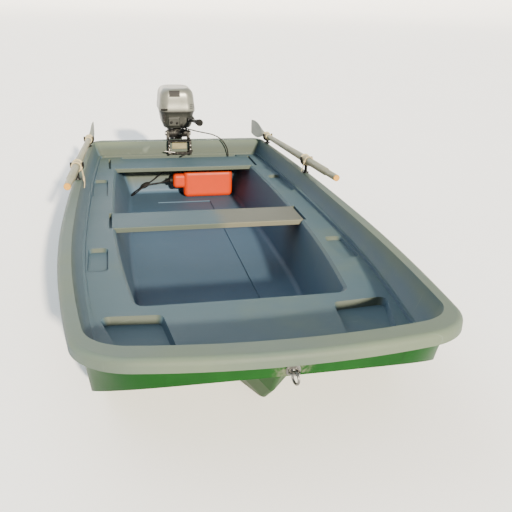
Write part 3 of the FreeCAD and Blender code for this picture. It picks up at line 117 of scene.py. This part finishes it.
class Finish:
    def __init__(self, name, **values):
        self.material = bpy.data.materials.new(name)
        self.material.use_nodes = True
        self.tree = self.material.node_tree
        self.shader = self.tree.nodes["Principled BSDF"]
        for key, value in values.items():
            self.shader.inputs[key.replace("_", " ")].default_value = value

    def node(self, kind, settings, feeds, result=0):
        made = self.tree.nodes.new("ShaderNode" + kind)
        for key, value in settings.items():
            setattr(made, key, value)
        pairs = feeds.items() if isinstance(feeds, dict) else enumerate(feeds)
        for key, value in pairs:
            self.feed(made.inputs[key], value)
        return Field(self, made.outputs[result])

    def feed(self, socket, value):
        if isinstance(value, Field):
            self.tree.links.new(value.socket, socket)
        elif isinstance(value, tuple) and len(value) == 3 and socket.type == "RGBA":
            socket.default_value = (*value, 1)
        else:
            socket.default_value = value

    def place(self):
        return self.node("TexCoord", {}, {}, "Object")

    def axis(self, name, place=None):
        return self.node("SeparateXYZ", {}, {0: place or self.place()}, name)

    def stretched(self, x, y, z):
        return self.node("Mapping", {}, {"Vector": self.place(), "Scale": (x, y, z)})

    def noise(self, scale, detail=3.0, rough=0.55, place=None, distortion=0.0):
        feeds = {"Vector": place or self.place(), "Scale": scale, "Detail": detail, "Roughness": rough,
                 "Distortion": distortion}
        return self.node("TexNoise", {}, feeds)

    def wave(self, settings, scale, distortion=0.0):
        feeds = {"Vector": self.place(), "Scale": scale, "Distortion": distortion}
        return self.node("TexWave", settings, feeds, "Fac")

    def tint(self, amount, first, second):
        return self.node("Mix", {"data_type": "RGBA"}, {0: amount, 6: first, 7: second}, 2)

    def colour(self, value):
        self.feed(self.shader.inputs["Base Color"], value)

    def rough(self, value):
        self.feed(self.shader.inputs["Roughness"], value)

    def relief(self, height, strength, depth):
        bump = self.node("Bump", {}, {"Height": height, "Strength": strength, "Distance": depth})
        self.feed(self.shader.inputs["Normal"], bump)


def coat(finish, *nodes):
    for name in nodes:
        mesh = bpy.data.objects[name].data
        mesh.materials.clear()
        mesh.materials.append(finish.material)


# Fuel hose, in the three stretches that the frame has.
hoseLook = {"diameter": 0.009, "rubber": (0.005, 0.005, 0.006), "scuffed": (0.016, 0.016, 0.016)}
motorRoute = [(0.0305, 1.7164, 0.4635), (0.032, 1.683, 0.461), (0.055, 1.656, 0.456), (0.096, 1.646, 0.446),
              (0.140, 1.644, 0.434), (0.190, 1.640, 0.4245), (0.244, 1.634, 0.414), (0.292, 1.627, 0.396),
              (0.329, 1.622, 0.368), (0.357, 1.620, 0.327), (0.373, 1.621, 0.287), (0.376, 1.623, 0.250)]
mainRoute = [(0.376, 1.623, 0.250), (0.3784, 1.6246, 0.2204), (0.366, 1.617, 0.191),
             (0.341, 1.602, 0.1761), (0.308, 1.582, 0.1751), (0.262, 1.556, 0.1751),
             (0.211, 1.533, 0.1751), (0.150, 1.521, 0.1751), (0.084, 1.520, 0.1751),
             (0.020, 1.529, 0.1751), (-0.042, 1.546, 0.172), (-0.097, 1.566, 0.159),
             (-0.142, 1.583, 0.133), (-0.177, 1.595, 0.102), (-0.2088, 1.598, 0.0733),
             (-0.238, 1.598, 0.056)]
tankRoute = [(-0.3103, 1.598, 0.0132), (-0.3361, 1.598, -0.0021), (-0.369, 1.583, -0.022),
             (-0.384, 1.552, -0.028), (-0.379, 1.519, -0.023), (-0.359, 1.493, -0.004),
             (-0.328, 1.486, 0.024), (-0.290, 1.492, 0.050), (-0.246, 1.500, 0.067),
             (-0.200, 1.507, 0.072), (-0.1586, 1.512, 0.0746), (-0.1276, 1.512, 0.0823)]

hoseRubber = Finish("hoseRubber", Roughness=0.55, Specular_IOR_Level=0.1)
scuffs = hoseRubber.noise(45.0, 4.0, 0.7)
hoseRubber.colour(hoseRubber.tint(scuffs.ramp(0.45, 0.8), hoseLook["rubber"], hoseLook["scuffed"]))
hoseRubber.relief(hoseRubber.noise(400.0), 0.15, 0.0003)


def routeCurve(name, points, radius=0.0):
    data = bpy.data.curves.new(name, "CURVE")
    data.dimensions = "3D"
    data.resolution_u = 10
    data.bevel_depth = radius
    data.bevel_resolution = 4
    data.use_fill_caps = True
    spline = data.splines.new("NURBS")
    spline.points.add(len(points) - 1)
    for point, place in zip(spline.points, points):
        point.co = (*place, 1)
    spline.order_u = 3
    spline.use_endpoint_u = True
    curve = bpy.data.objects.new(name, data)
    bpy.context.scene.collection.objects.link(curve)
    return curve


def routeLine(points):
    curve = routeCurve("routeOnly", points)
    mesh = bpy.data.meshes.new_from_object(curve)
    line = [vertex.co.copy() for vertex in mesh.vertices]
    bpy.data.objects.remove(curve)
    return line


def pathLength(line):
    return sum((b - a).length for a, b in zip(line, line[1:]))


def joinRings(mesh, rings):
    for first, second in zip(rings, rings[1:]):
        for step in range(len(first)):
            following = (step + 1) % len(first)
            mesh.faces.new((first[step], first[following], second[following], second[step]))


def tubeMesh(name, line, radius, sides=14):
    # a tube along a line, its ring carried on without twist
    mesh = bmesh.new()
    heading = (line[1] - line[0]).normalized()
    side = heading.orthogonal().normalized()
    rings = []
    for index, point in enumerate(line):
        before = line[max(index - 1, 0)]
        after = line[min(index + 1, len(line) - 1)]
        heading = (after - before).normalized()
        side = (side - heading * side.dot(heading)).normalized()
        up = heading.cross(side)
        ring = []
        for step in range(sides):
            turn = 2 * math.pi * step / sides
            ring.append(mesh.verts.new(point + (side * math.cos(turn) + up * math.sin(turn)) * radius))
        rings.append(ring)
    joinRings(mesh, rings)
    mesh.faces.new(list(reversed(rings[0])))
    mesh.faces.new(rings[-1])
    return meshPiece(name, mesh)


def meshPiece(name, mesh):
    data = bpy.data.meshes.new(name)
    bmesh.ops.recalc_face_normals(mesh, faces=mesh.faces)
    mesh.to_mesh(data)
    mesh.free()
    data.shade_smooth()
    piece = bpy.data.objects.new(name, data)
    bpy.context.scene.collection.objects.link(piece)
    return piece


motorLine = routeLine(motorRoute)
motorHose = tubeMesh("motorHose", motorLine, hoseLook["diameter"] / 2)
motorHose.data.materials.append(hoseRubber.material)
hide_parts("hose_motor")
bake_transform(motorHose)

for name, node, route, ending in (("mainHose", "hose_main", mainRoute, "fitting"),
                                  ("tankHose", "hose_tank", tankRoute, "object")):
    hose = routeCurve(name, route, hoseLook["diameter"] / 2)
    hose.data.materials.append(hoseRubber.material)
    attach(hose, "boat")
    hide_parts(node)
    pathLength(routeLine(route))
print("fuel hoses laid")

# Rope ends left hanging from the ties round the oars.
ropeLook = {"diameter": 0.006, "lay": (0.34, 0.29, 0.18), "soiled": (0.15, 0.125, 0.075)}
ropeTails = {
    "oar_port": [
        [(0.6835, 0.587, 0.4235), (0.679, 0.584, 0.404), (0.671, 0.578, 0.388), (0.664, 0.573, 0.374)],
    ],
    "oar_starboard": [
        [(-0.6835, 0.587, 0.4235), (-0.678, 0.583, 0.398), (-0.672, 0.578, 0.368),
         (-0.672, 0.574, 0.338), (-0.676, 0.572, 0.312)],
        [(-0.684, 0.583, 0.425), (-0.679, 0.574, 0.405), (-0.676, 0.567, 0.380), (-0.677, 0.563, 0.356)],
    ],
}
ropeLay = Finish("ropeLay", Roughness=0.85, Specular_IOR_Level=0.2)
twist = ropeLay.wave({"bands_direction": "DIAGONAL"}, 160.0, 1.5)
soil = ropeLay.noise(60.0, 4.0, 0.7)
ropeLay.colour(ropeLay.tint(soil.ramp(0.4, 0.75) * 0.7 + twist * 0.3, ropeLook["lay"], ropeLook["soiled"]))
ropeLay.relief(twist, 0.7, 0.0008)
for oar, tails in ropeTails.items():
    for index, route in enumerate(tails):
        tail = routeCurve(oar + "Tail%d" % index, route, ropeLook["diameter"] / 2)
        tail.data.materials.append(ropeLay.material)
        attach(tail, oar + "_side")
        pathLength(routeLine(route))
print("rope ends hung")

# Gelcoat inside: painted shade in blue low down and on faces turned from the key lamp, painted sunlight in
# grey green on the high upward faces, on the lip and on faces toward the bow, mixed with chalk patches.
linerLook = {
    "paintedShadeBlue": (0.032, 0.06, 0.094), "bench": (0.037, 0.066, 0.082), "chalkAndPaintedSun": (0.078, 0.103, 0.074),
    "weathered": (0.038, 0.047, 0.031), "dirt": (0.045, 0.05, 0.035), "scratch": (0.12, 0.15, 0.13),
    "tanned": (0.085, 0.083, 0.058), "tanWidth": 0.12, "benchRise": (-0.05, 0.24), "lipRise": (0.29, 0.36),
}


def insideGelcoat(name, tannedFrom=None):
    finish = Finish(name, Specular_IOR_Level=0.2)
    broad = finish.noise(1.6, 4.0, 0.6)
    fine = finish.noise(34.0, 4.0, 0.65)
    height = finish.axis("Z")
    normal = finish.node("NewGeometry", {}, {}, "Normal")
    upward = finish.axis("Z", normal)
    forward = 0.0 - finish.axis("Y", normal)

    # painted light and shade: high upward faces take the painted lit tone, low and sideways faces the
    # painted shade blue
    bench = height.ramp(*linerLook["benchRise"]) * (0.35 + 0.65 * upward.ramp(0.1, 0.8))
    tone = finish.tint(bench, linerLook["paintedShadeBlue"], linerLook["bench"])
    # painted sunlight on the lip: faces up or toward the bow, where the key lamp shines, take the chalky
    # grey green, and faces turned away keep the painted shade blue
    facesKeyLamp = upward.ramp(-0.1, 0.5).larger(forward.ramp(0.1, 0.6))
    patches = 0.55 + 0.45 * broad.ramp(0.3, 0.7)
    lipTop = height.ramp(*linerLook["lipRise"]) * patches * (0.25 + 0.75 * facesKeyLamp)
    tone = finish.tint(lipTop, tone, linerLook["chalkAndPaintedSun"])
    # random patches of the same painted sunlit chalk tone on the lit tops
    tone = finish.tint(broad.ramp(0.48, 0.72) * bench * 0.45, tone, linerLook["chalkAndPaintedSun"])
    # painted light: faces toward the bow, where the key lamp shines, lose the blue for a grey green tone
    facing = forward.ramp(0.4, 0.9) * height.ramp(-0.02, 0.1) * (1.0 - lipTop * 0.7) * 0.85
    tone = finish.tint(facing, tone, linerLook["weathered"])
    if tannedFrom is not None:
        across = finish.axis("X") + 0.3 * (broad - 0.5)
        tan = across.ramp(tannedFrom, tannedFrom + linerLook["tanWidth"])
        tone = finish.tint(tan * 0.8, tone, linerLook["tanned"])

    trodden = fine.ramp(0.55, 0.8) * (1.0 - height.ramp(-0.03, 0.2) * 0.7) * 0.35
    tone = finish.tint(trodden, tone, linerLook["dirt"])
    scratches = finish.noise(9.0, 2.0, 0.5, finish.stretched(1.0, 26.0, 1.0), 0.6)
    finish.colour(finish.tint(scratches.ramp(0.69, 0.78) * 0.35, tone, linerLook["scratch"]))
    finish.rough(0.48 + 0.25 * broad)
    finish.relief(finish.noise(120.0, 2.0), 0.12, 0.0008)
    return finish


coat(insideGelcoat("linerGelcoat"), "liner", "aft_thwart")
coat(insideGelcoat("thwartGelcoat", 0.0), "mid_thwart")

# Hull: green gelcoat with faded patches and streaks, rubbed pale where the stem grounds.
hullLook = {
    "green": (0.0008, 0.026, 0.0018), "faded": (0.0018, 0.036, 0.003), "grime": (0.003, 0.016, 0.003),
    "worn": (0.065, 0.075, 0.05), "stemHalf": (0.03, 0.075), "stemBack": (-1.62, -1.45),
}
hullGelcoat = Finish("hullGelcoat", Specular_IOR_Level=0.12)
patch = hullGelcoat.noise(3.0, 4.0, 0.6)
streak = hullGelcoat.noise(18.0, 4.0, 0.6, hullGelcoat.stretched(1.0, 1.0, 0.12))
green = hullGelcoat.tint(patch.ramp(0.35, 0.75), hullLook["green"], hullLook["faded"])
green = hullGelcoat.tint(streak.ramp(0.55, 0.85) * 0.5, green, hullLook["grime"])
stemWide = 1.0 - hullGelcoat.axis("X").magnitude().ramp(*hullLook["stemHalf"])
stemZone = stemWide * (1.0 - hullGelcoat.axis("Y").ramp(*hullLook["stemBack"]))
rubbed = hullGelcoat.noise(30.0, 4.0, 0.7).ramp(0.36, 0.56) * stemZone
hullGelcoat.colour(hullGelcoat.tint(rubbed * 0.85, green, hullLook["worn"]))
hullGelcoat.rough(0.35 + 0.25 * patch)
hullGelcoat.relief(hullGelcoat.noise(110.0, 2.0), 0.1, 0.0006)
coat(hullGelcoat, "hull_shell", "keel")

# Oars: drab paint over wood, rubbed by the hands, greyer on the blade, bare end grain at the handle.
oarLook = {
    "paint": (0.155, 0.155, 0.1), "rubbed": (0.25, 0.23, 0.14), "wood": (0.34, 0.17, 0.014),
    "ring": (0.2, 0.09, 0.01), "blade": (0.12, 0.14, 0.118), "bladeStarts": (1.6, 1.72),
    "gripEnds": (0.16, 0.34), "handleEnd": (0.1175, 0.1195),
}
oarPaint = Finish("oarPaint", Specular_IOR_Level=0.35)
along = oarPaint.axis("Y")
grain = oarPaint.noise(60.0, 5.0, 0.6, oarPaint.stretched(1.0, 0.06, 1.0))
paint = oarPaint.tint(grain.ramp(0.5, 0.75), oarLook["paint"], oarLook["rubbed"])
paint = oarPaint.tint(along.ramp(*oarLook["bladeStarts"]), paint, oarLook["blade"])
handled = (1.0 - along.ramp(*oarLook["gripEnds"])) * oarPaint.noise(26.0).ramp(0.4, 0.7) * 0.6
paint = oarPaint.tint(handled, paint, oarLook["rubbed"])
rings = oarPaint.wave({"wave_type": "RINGS", "rings_direction": "Y"}, 42.0, 2.0)
endGrain = oarPaint.tint(rings.ramp(0.3, 0.9) * 0.5, oarLook["wood"], oarLook["ring"])
oarPaint.colour(oarPaint.tint(1.0 - along.ramp(*oarLook["handleEnd"]), paint, endGrain))
oarPaint.rough(0.42 + 0.25 * grain)
oarPaint.relief(grain, 0.25, 0.0006)
coat(oarPaint, "oar_port", "oar_starboard")
coat(ropeLay, "rope_tie_port", "rope_tie_starboard")

# Tank: blown orange plastic, dusty on top, with a moulding seam round its middle.
tankLook = {
    "orange": (0.27, 0.02, 0.0001), "scuffed": (0.22, 0.019, 0.0002), "dust": (0.26, 0.07, 0.015),
    "dustRise": (0.14, 0.172), "seamAt": 1.512, "seamHalf": (0.0006, 0.0022),
}
tankOrange = Finish("tankOrange", Specular_IOR_Level=0.15)
blotch = tankOrange.noise(9.0, 4.0, 0.6)
skin = tankOrange.tint(blotch.ramp(0.45, 0.8) * 0.6, tankLook["orange"], tankLook["scuffed"])
specks = tankOrange.noise(40.0, 5.0, 0.7).ramp(0.4, 0.7)
dusty = tankOrange.axis("Z").ramp(*tankLook["dustRise"]) * specks * 0.35
tankOrange.colour(tankOrange.tint(dusty, skin, tankLook["dust"]))
tankOrange.rough(0.36 + 0.2 * blotch)
seam = 1.0 - (tankOrange.axis("Y") - tankLook["seamAt"]).magnitude().ramp(*tankLook["seamHalf"])
tankOrange.relief(seam + 0.15 * tankOrange.noise(160.0, 2.0), 0.5, 0.0012)
coat(tankOrange, "fuel_tank")

# Rubber with moulded ribs: the tiller grip's run along it, the bulb's round it.
gripLook = {"rubber": (0.006, 0.006, 0.006), "dusty": (0.02, 0.02, 0.02), "ribScale": 55.0}
gripRubber = Finish("gripRubber", Roughness=0.65, Specular_IOR_Level=0.08)
handling = gripRubber.noise(120.0, 4.0).ramp(0.5, 0.8)
gripRubber.colour(gripRubber.tint(handling, gripLook["rubber"], gripLook["dusty"]))
gripRubber.relief(gripRubber.wave({"bands_direction": "X"}, gripLook["ribScale"]), 0.8, 0.0015)
coat(gripRubber, "tiller_grip", "primer_bulb")

# Cowl: silver paint, a dark rim by the pan, vent slits low on its port side, a blank dark badge.
cowlLook = {
    "silver": (0.11, 0.115, 0.1), "soft": (0.075, 0.08, 0.068), "rim": (0.03, 0.03, 0.03),
    "badge": (0.002, 0.002, 0.002), "metal": 0.35, "rimTop": (0.572, 0.5735), "slitScale": 24.0,
    "slitHigh": (0.588, 0.628, 0.002), "slitOut": (0.092, 0.093), "slitBack": (1.788, 1.79),
    "badgeWide": (-0.062, 0.02, 0.0015), "badgeHigh": (0.682, 0.728, 0.0015), "badgeBack": (1.79, 1.8),
}
cowlSilver = Finish("cowlSilver", Specular_IOR_Level=0.5)
mottle = cowlSilver.noise(14.0, 4.0, 0.6)
silver = cowlSilver.tint(mottle.ramp(0.4, 0.8), cowlLook["silver"], cowlLook["soft"])
cowlOut, cowlBack, cowlHigh = (cowlSilver.axis(name) for name in "XYZ")
rim = 1.0 - cowlHigh.ramp(*cowlLook["rimTop"])
slitRow = cowlSilver.wave({"bands_direction": "Z"}, cowlLook["slitScale"])
slits = slitRow.ramp(0.55, 0.7) * cowlHigh.band(*cowlLook["slitHigh"]) * cowlOut.ramp(*cowlLook["slitOut"])
slits = slits * (1.0 - cowlBack.ramp(*cowlLook["slitBack"]))
badge = cowlOut.band(*cowlLook["badgeWide"]) * cowlHigh.band(*cowlLook["badgeHigh"])
badge = badge * (1.0 - cowlBack.ramp(*cowlLook["badgeBack"]))
painted = cowlSilver.tint(rim + slits, silver, cowlLook["rim"])
cowlSilver.colour(cowlSilver.tint(badge, painted, cowlLook["badge"]))
cowlSilver.rough(0.26 + 0.2 * mottle + 0.4 * badge)
cowlSilver.feed(cowlSilver.shader.inputs["Metallic"], cowlLook["metal"] * (1.0 - badge))
cowlSilver.relief(1.0 - rim - slits + 0.6 * badge, 0.6, 0.0012)
coat(cowlSilver, "top_cowl")

# Pad: a plain board with its grain across.
padLook = {"board": (0.14, 0.13, 0.075), "grain": (0.075, 0.068, 0.036)}
padWood = Finish("padWood", Roughness=0.6, Specular_IOR_Level=0.2)
plank = padWood.noise(20.0, 5.0, 0.65, padWood.stretched(0.25, 1.0, 4.0))
padWood.colour(padWood.tint(plank.ramp(0.35, 0.75), padLook["board"], padLook["grain"]))
padWood.relief(plank, 0.3, 0.0006)
coat(padWood, "transom_pad")

# Metals and plastics of one kind of wear: main tone, worn tone and the size of its spots.
plainLooks = {
    "collarCream": {"main": (0.3, 0.26, 0.15), "worn": (0.18, 0.15, 0.08), "spots": 60.0, "rough": 0.5},
    "blackSteel": {"main": (0.007, 0.007, 0.008), "worn": (0.03, 0.026, 0.022), "spots": 90.0,
                   "rough": 0.42, "metal": 0.3, "shine": 0.15},
    "greySteel": {"main": (0.15, 0.15, 0.145), "worn": (0.08, 0.07, 0.055), "spots": 80.0,
                  "rough": 0.3, "metal": 1.0},
    "darkSteel": {"main": (0.008, 0.008, 0.008), "worn": (0.05, 0.048, 0.045), "spots": 70.0,
                  "rough": 0.4, "metal": 0.3, "shine": 0.12},
    "blackPlastic": {"main": (0.004, 0.004, 0.004), "worn": (0.014, 0.014, 0.014), "spots": 70.0,
                     "rough": 0.42, "shine": 0.1},
    "motorGrey": {"main": (0.014, 0.015, 0.016), "worn": (0.04, 0.04, 0.04), "spots": 40.0,
                  "rough": 0.4, "metal": 0.2, "shine": 0.15},
    "legGrey": {"main": (0.06, 0.062, 0.065), "worn": (0.1, 0.1, 0.1), "spots": 34.0,
                "rough": 0.4, "metal": 0.3, "shine": 0.2},
    "panGrey": {"main": (0.018, 0.02, 0.018), "worn": (0.06, 0.06, 0.054), "spots": 30.0,
                "rough": 0.34, "metal": 0.3},
    "bracketGrey": {"main": (0.008, 0.008, 0.008), "worn": (0.07, 0.07, 0.062), "spots": 46.0,
                    "rough": 0.4, "metal": 0.3, "wear": (0.5, 0.72), "shine": 0.12},
    "engineGrey": {"main": (0.3, 0.3, 0.3), "worn": (0.12, 0.12, 0.12), "spots": 50.0,
                   "rough": 0.5, "metal": 0.8},
    "brightScrew": {"main": (0.5, 0.5, 0.48), "worn": (0.25, 0.2, 0.15), "spots": 200.0,
                    "rough": 0.3, "metal": 1.0},
}
plainNodes = {
    "collarCream": ["collar_fore_port", "collar_aft_port", "collar_fore_starboard", "collar_aft_starboard"],
    "blackSteel": [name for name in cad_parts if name.startswith(("rowlock", "socket"))],
    "greySteel": ["bow_eye", "bow_ring", "tilt_tube", "clamp_screw_starboard"],
    "darkSteel": ["clamp_screw_port", "shift_lever"],
    "blackPlastic": ["tank_cap", "tank_spout", "knob_choke", "knob_stop", "starter_handle", "hose_plug"],
    "motorGrey": ["steering_shaft", "tiller_bracket", "tiller_arm"],
    "legGrey": ["leg", "gear_case", "propeller"],
    "panGrey": ["lower_pan", "front_panel"],
    "bracketGrey": ["clamp_bracket", "swivel_bracket"],
    "engineGrey": ["engine"],
}


def plainFinish(name, main, worn, spots, rough, metal=0.0, wear=(0.55, 0.8), shine=0.3):
    finish = Finish(name, Metallic=metal, Specular_IOR_Level=shine)
    finish.colour(finish.tint(finish.noise(spots, 5.0, 0.65).ramp(*wear), main, worn))
    finish.rough(rough + 0.2 * finish.noise(spots * 0.4, 3.0))
    finish.relief(finish.noise(spots * 6, 2.0), 0.2, 0.0004)
    return finish


plainFinishes = {name: plainFinish(name, **look) for name, look in plainLooks.items()}
for name, nodes in plainNodes.items():
    coat(plainFinishes[name], *nodes)
print("finishes made")

# Screw heads with a dished middle, two on each socket's flange and two on each of the clamp's cheeks.
screwLook = {"socket": 0.0034, "socketOff": 0.0155, "socketDrop": 0.0052, "cheek": 0.0045,
             "cheekAt": (0.0805, 1.604), "cheekHigh": (0.305, 0.335),
             "profile": [(1.0, 0.0), (0.96, 0.28), (0.78, 0.5), (0.4, 0.62)], "dish": 0.35}


def screwHead(mesh, place, facing, radius):
    turn = Vector(facing).to_track_quat("Z", "Y").to_matrix().to_4x4()
    sides = 12
    rings = []
    for wide, high in screwLook["profile"]:
        ring = []
        for step in range(sides):
            angle = 2 * math.pi * step / sides
            spot = Vector((wide * radius * math.cos(angle), wide * radius * math.sin(angle), high * radius))
            ring.append(mesh.verts.new(Vector(place) + turn @ spot))
        rings.append(ring)
    joinRings(mesh, rings)
    centre = mesh.verts.new(Vector(place) + turn @ Vector((0, 0, screwLook["dish"] * radius)))
    for step in range(sides):
        mesh.faces.new((rings[-1][step], rings[-1][(step + 1) % sides], centre))
    mesh.faces.new(list(reversed(rings[0])))


def screwSet(name, spots, body, finish):
    mesh = bmesh.new()
    for place, facing, radius in spots:
        screwHead(mesh, place, facing, radius)
    piece = meshPiece(name, mesh)
    piece.data.materials.append(finish.material)
    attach(piece, body)


socketSpots = []
for node in ("socket_fore_port", "socket_aft_port", "socket_fore_starboard", "socket_aft_starboard"):
    low, high = (Vector(corner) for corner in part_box(node))
    middle = (low + high) / 2
    for side in (-1, 1):
        spot = (middle.x, middle.y + side * screwLook["socketOff"], high.z - screwLook["socketDrop"])
        socketSpots.append((spot, (0, 0, 1), screwLook["socket"]))
screwSet("socketScrews", socketSpots, "boat", plainFinishes["brightScrew"])
cheekOut, cheekFront = screwLook["cheekAt"]
cheekSpots = [((side * cheekOut, cheekFront, high), (0, -1, 0), screwLook["cheek"])
              for side in (-1, 1) for high in screwLook["cheekHigh"]]
screwSet("cheekBolts", cheekSpots, "boat", plainFinishes["brightScrew"])
print("small fittings set")

# Floor at the waterline, with a hole where the hull sits in it, sweeping up far away as a studio's does.
floorPlan = {"sweep": [(60, 0), (72, 0.8), (82, 4), (88, 10), (91, 17), (92, 24)], "inset": 0.03,
             "pale": (0.9, 0.9, 0.9), "paler": (0.93, 0.93, 0.93)}


def crossings(node, level):
    # the points where edges of the node's mesh pass the level
    mesh = bpy.data.objects[node].data
    found = []
    for edge in mesh.edges:
        a, b = (mesh.vertices[index].co for index in edge.vertices)
        if (a.z - level) * (b.z - level) < 0:
            share = (level - a.z) / (b.z - a.z)
            found.append((a + (b - a) * share).to_2d())
    return found


def hullRing(points):
    # convex outline, walked round from one end
    points = sorted(points, key=lambda point: (point.x, point.y))
    chains = []
    for order in (points, points[::-1]):
        chain = []
        for point in order:
            while len(chain) > 1 and (chain[-1] - chain[-2]).cross(point - chain[-1]) <= 1e-9:
                chain.pop()
            chain.append(point)
        chains.append(chain[:-1])
    return chains[0] + chains[1]


def waterFloor(plan):
    ring = hullRing(crossings("hull_shell", 0.0))
    middle = sum(ring, Vector((0, 0))) / len(ring)
    ring = [point + (middle - point).normalized() * plan["inset"] for point in ring]
    mesh = bmesh.new()
    rows = [[mesh.verts.new((point.x, point.y, 0)) for point in ring]]
    for reach, rise in plan["sweep"]:
        row = []
        for point in ring:
            spot = middle + (point - middle).normalized() * reach
            row.append(mesh.verts.new((spot.x, spot.y, rise)))
        rows.append(row)
    joinRings(mesh, rows)
    return meshPiece("waterFloor", mesh)


floor = waterFloor(floorPlan)
floorPaint = Finish("floorPaint", Roughness=0.9)
floorPaint.colour(floorPaint.tint(floorPaint.noise(0.6), floorPlan["pale"], floorPlan["paler"]))
floor.data.materials.append(floorPaint.material)

# Studio light: a low warm key from ahead of the bow, a weak cool fill from behind and a pale sky.
lamps = {
    "key": {"toward": (-0.141, 0.797, -0.28), "strength": 19.0, "spread": 2.5, "tone": (1.0, 0.87, 0.68)},
    "fill": {"toward": (0.45, -0.75, -0.6), "strength": 2.4, "spread": 70.0, "tone": (0.78, 0.9, 1.0)},
}
lampsAway = 8
for name, plan in lamps.items():
    lampData = bpy.data.lights.new(name, "SUN")
    lampData.energy = plan["strength"]
    lampData.angle = math.radians(plan["spread"])
    lampData.color = plan["tone"]
    lamp = bpy.data.objects.new(name, lampData)
    lamp.rotation_mode = "QUATERNION"
    lamp.rotation_quaternion = Vector(plan["toward"]).to_track_quat("-Z", "Y")
    lamp.location = Vector(plan["toward"]) * -lampsAway
    bpy.context.scene.collection.objects.link(lamp)
skyPlan = {"tone": (0.88, 0.95, 1.0, 1), "strength": 1.0}
world = bpy.data.worlds.new("paleSky")
world.use_nodes = True
sky = world.node_tree.nodes["Background"]
sky.inputs["Color"].default_value = skyPlan["tone"]
sky.inputs["Strength"].default_value = skyPlan["strength"]
bpy.context.scene.world = world
print("stage and lights set")
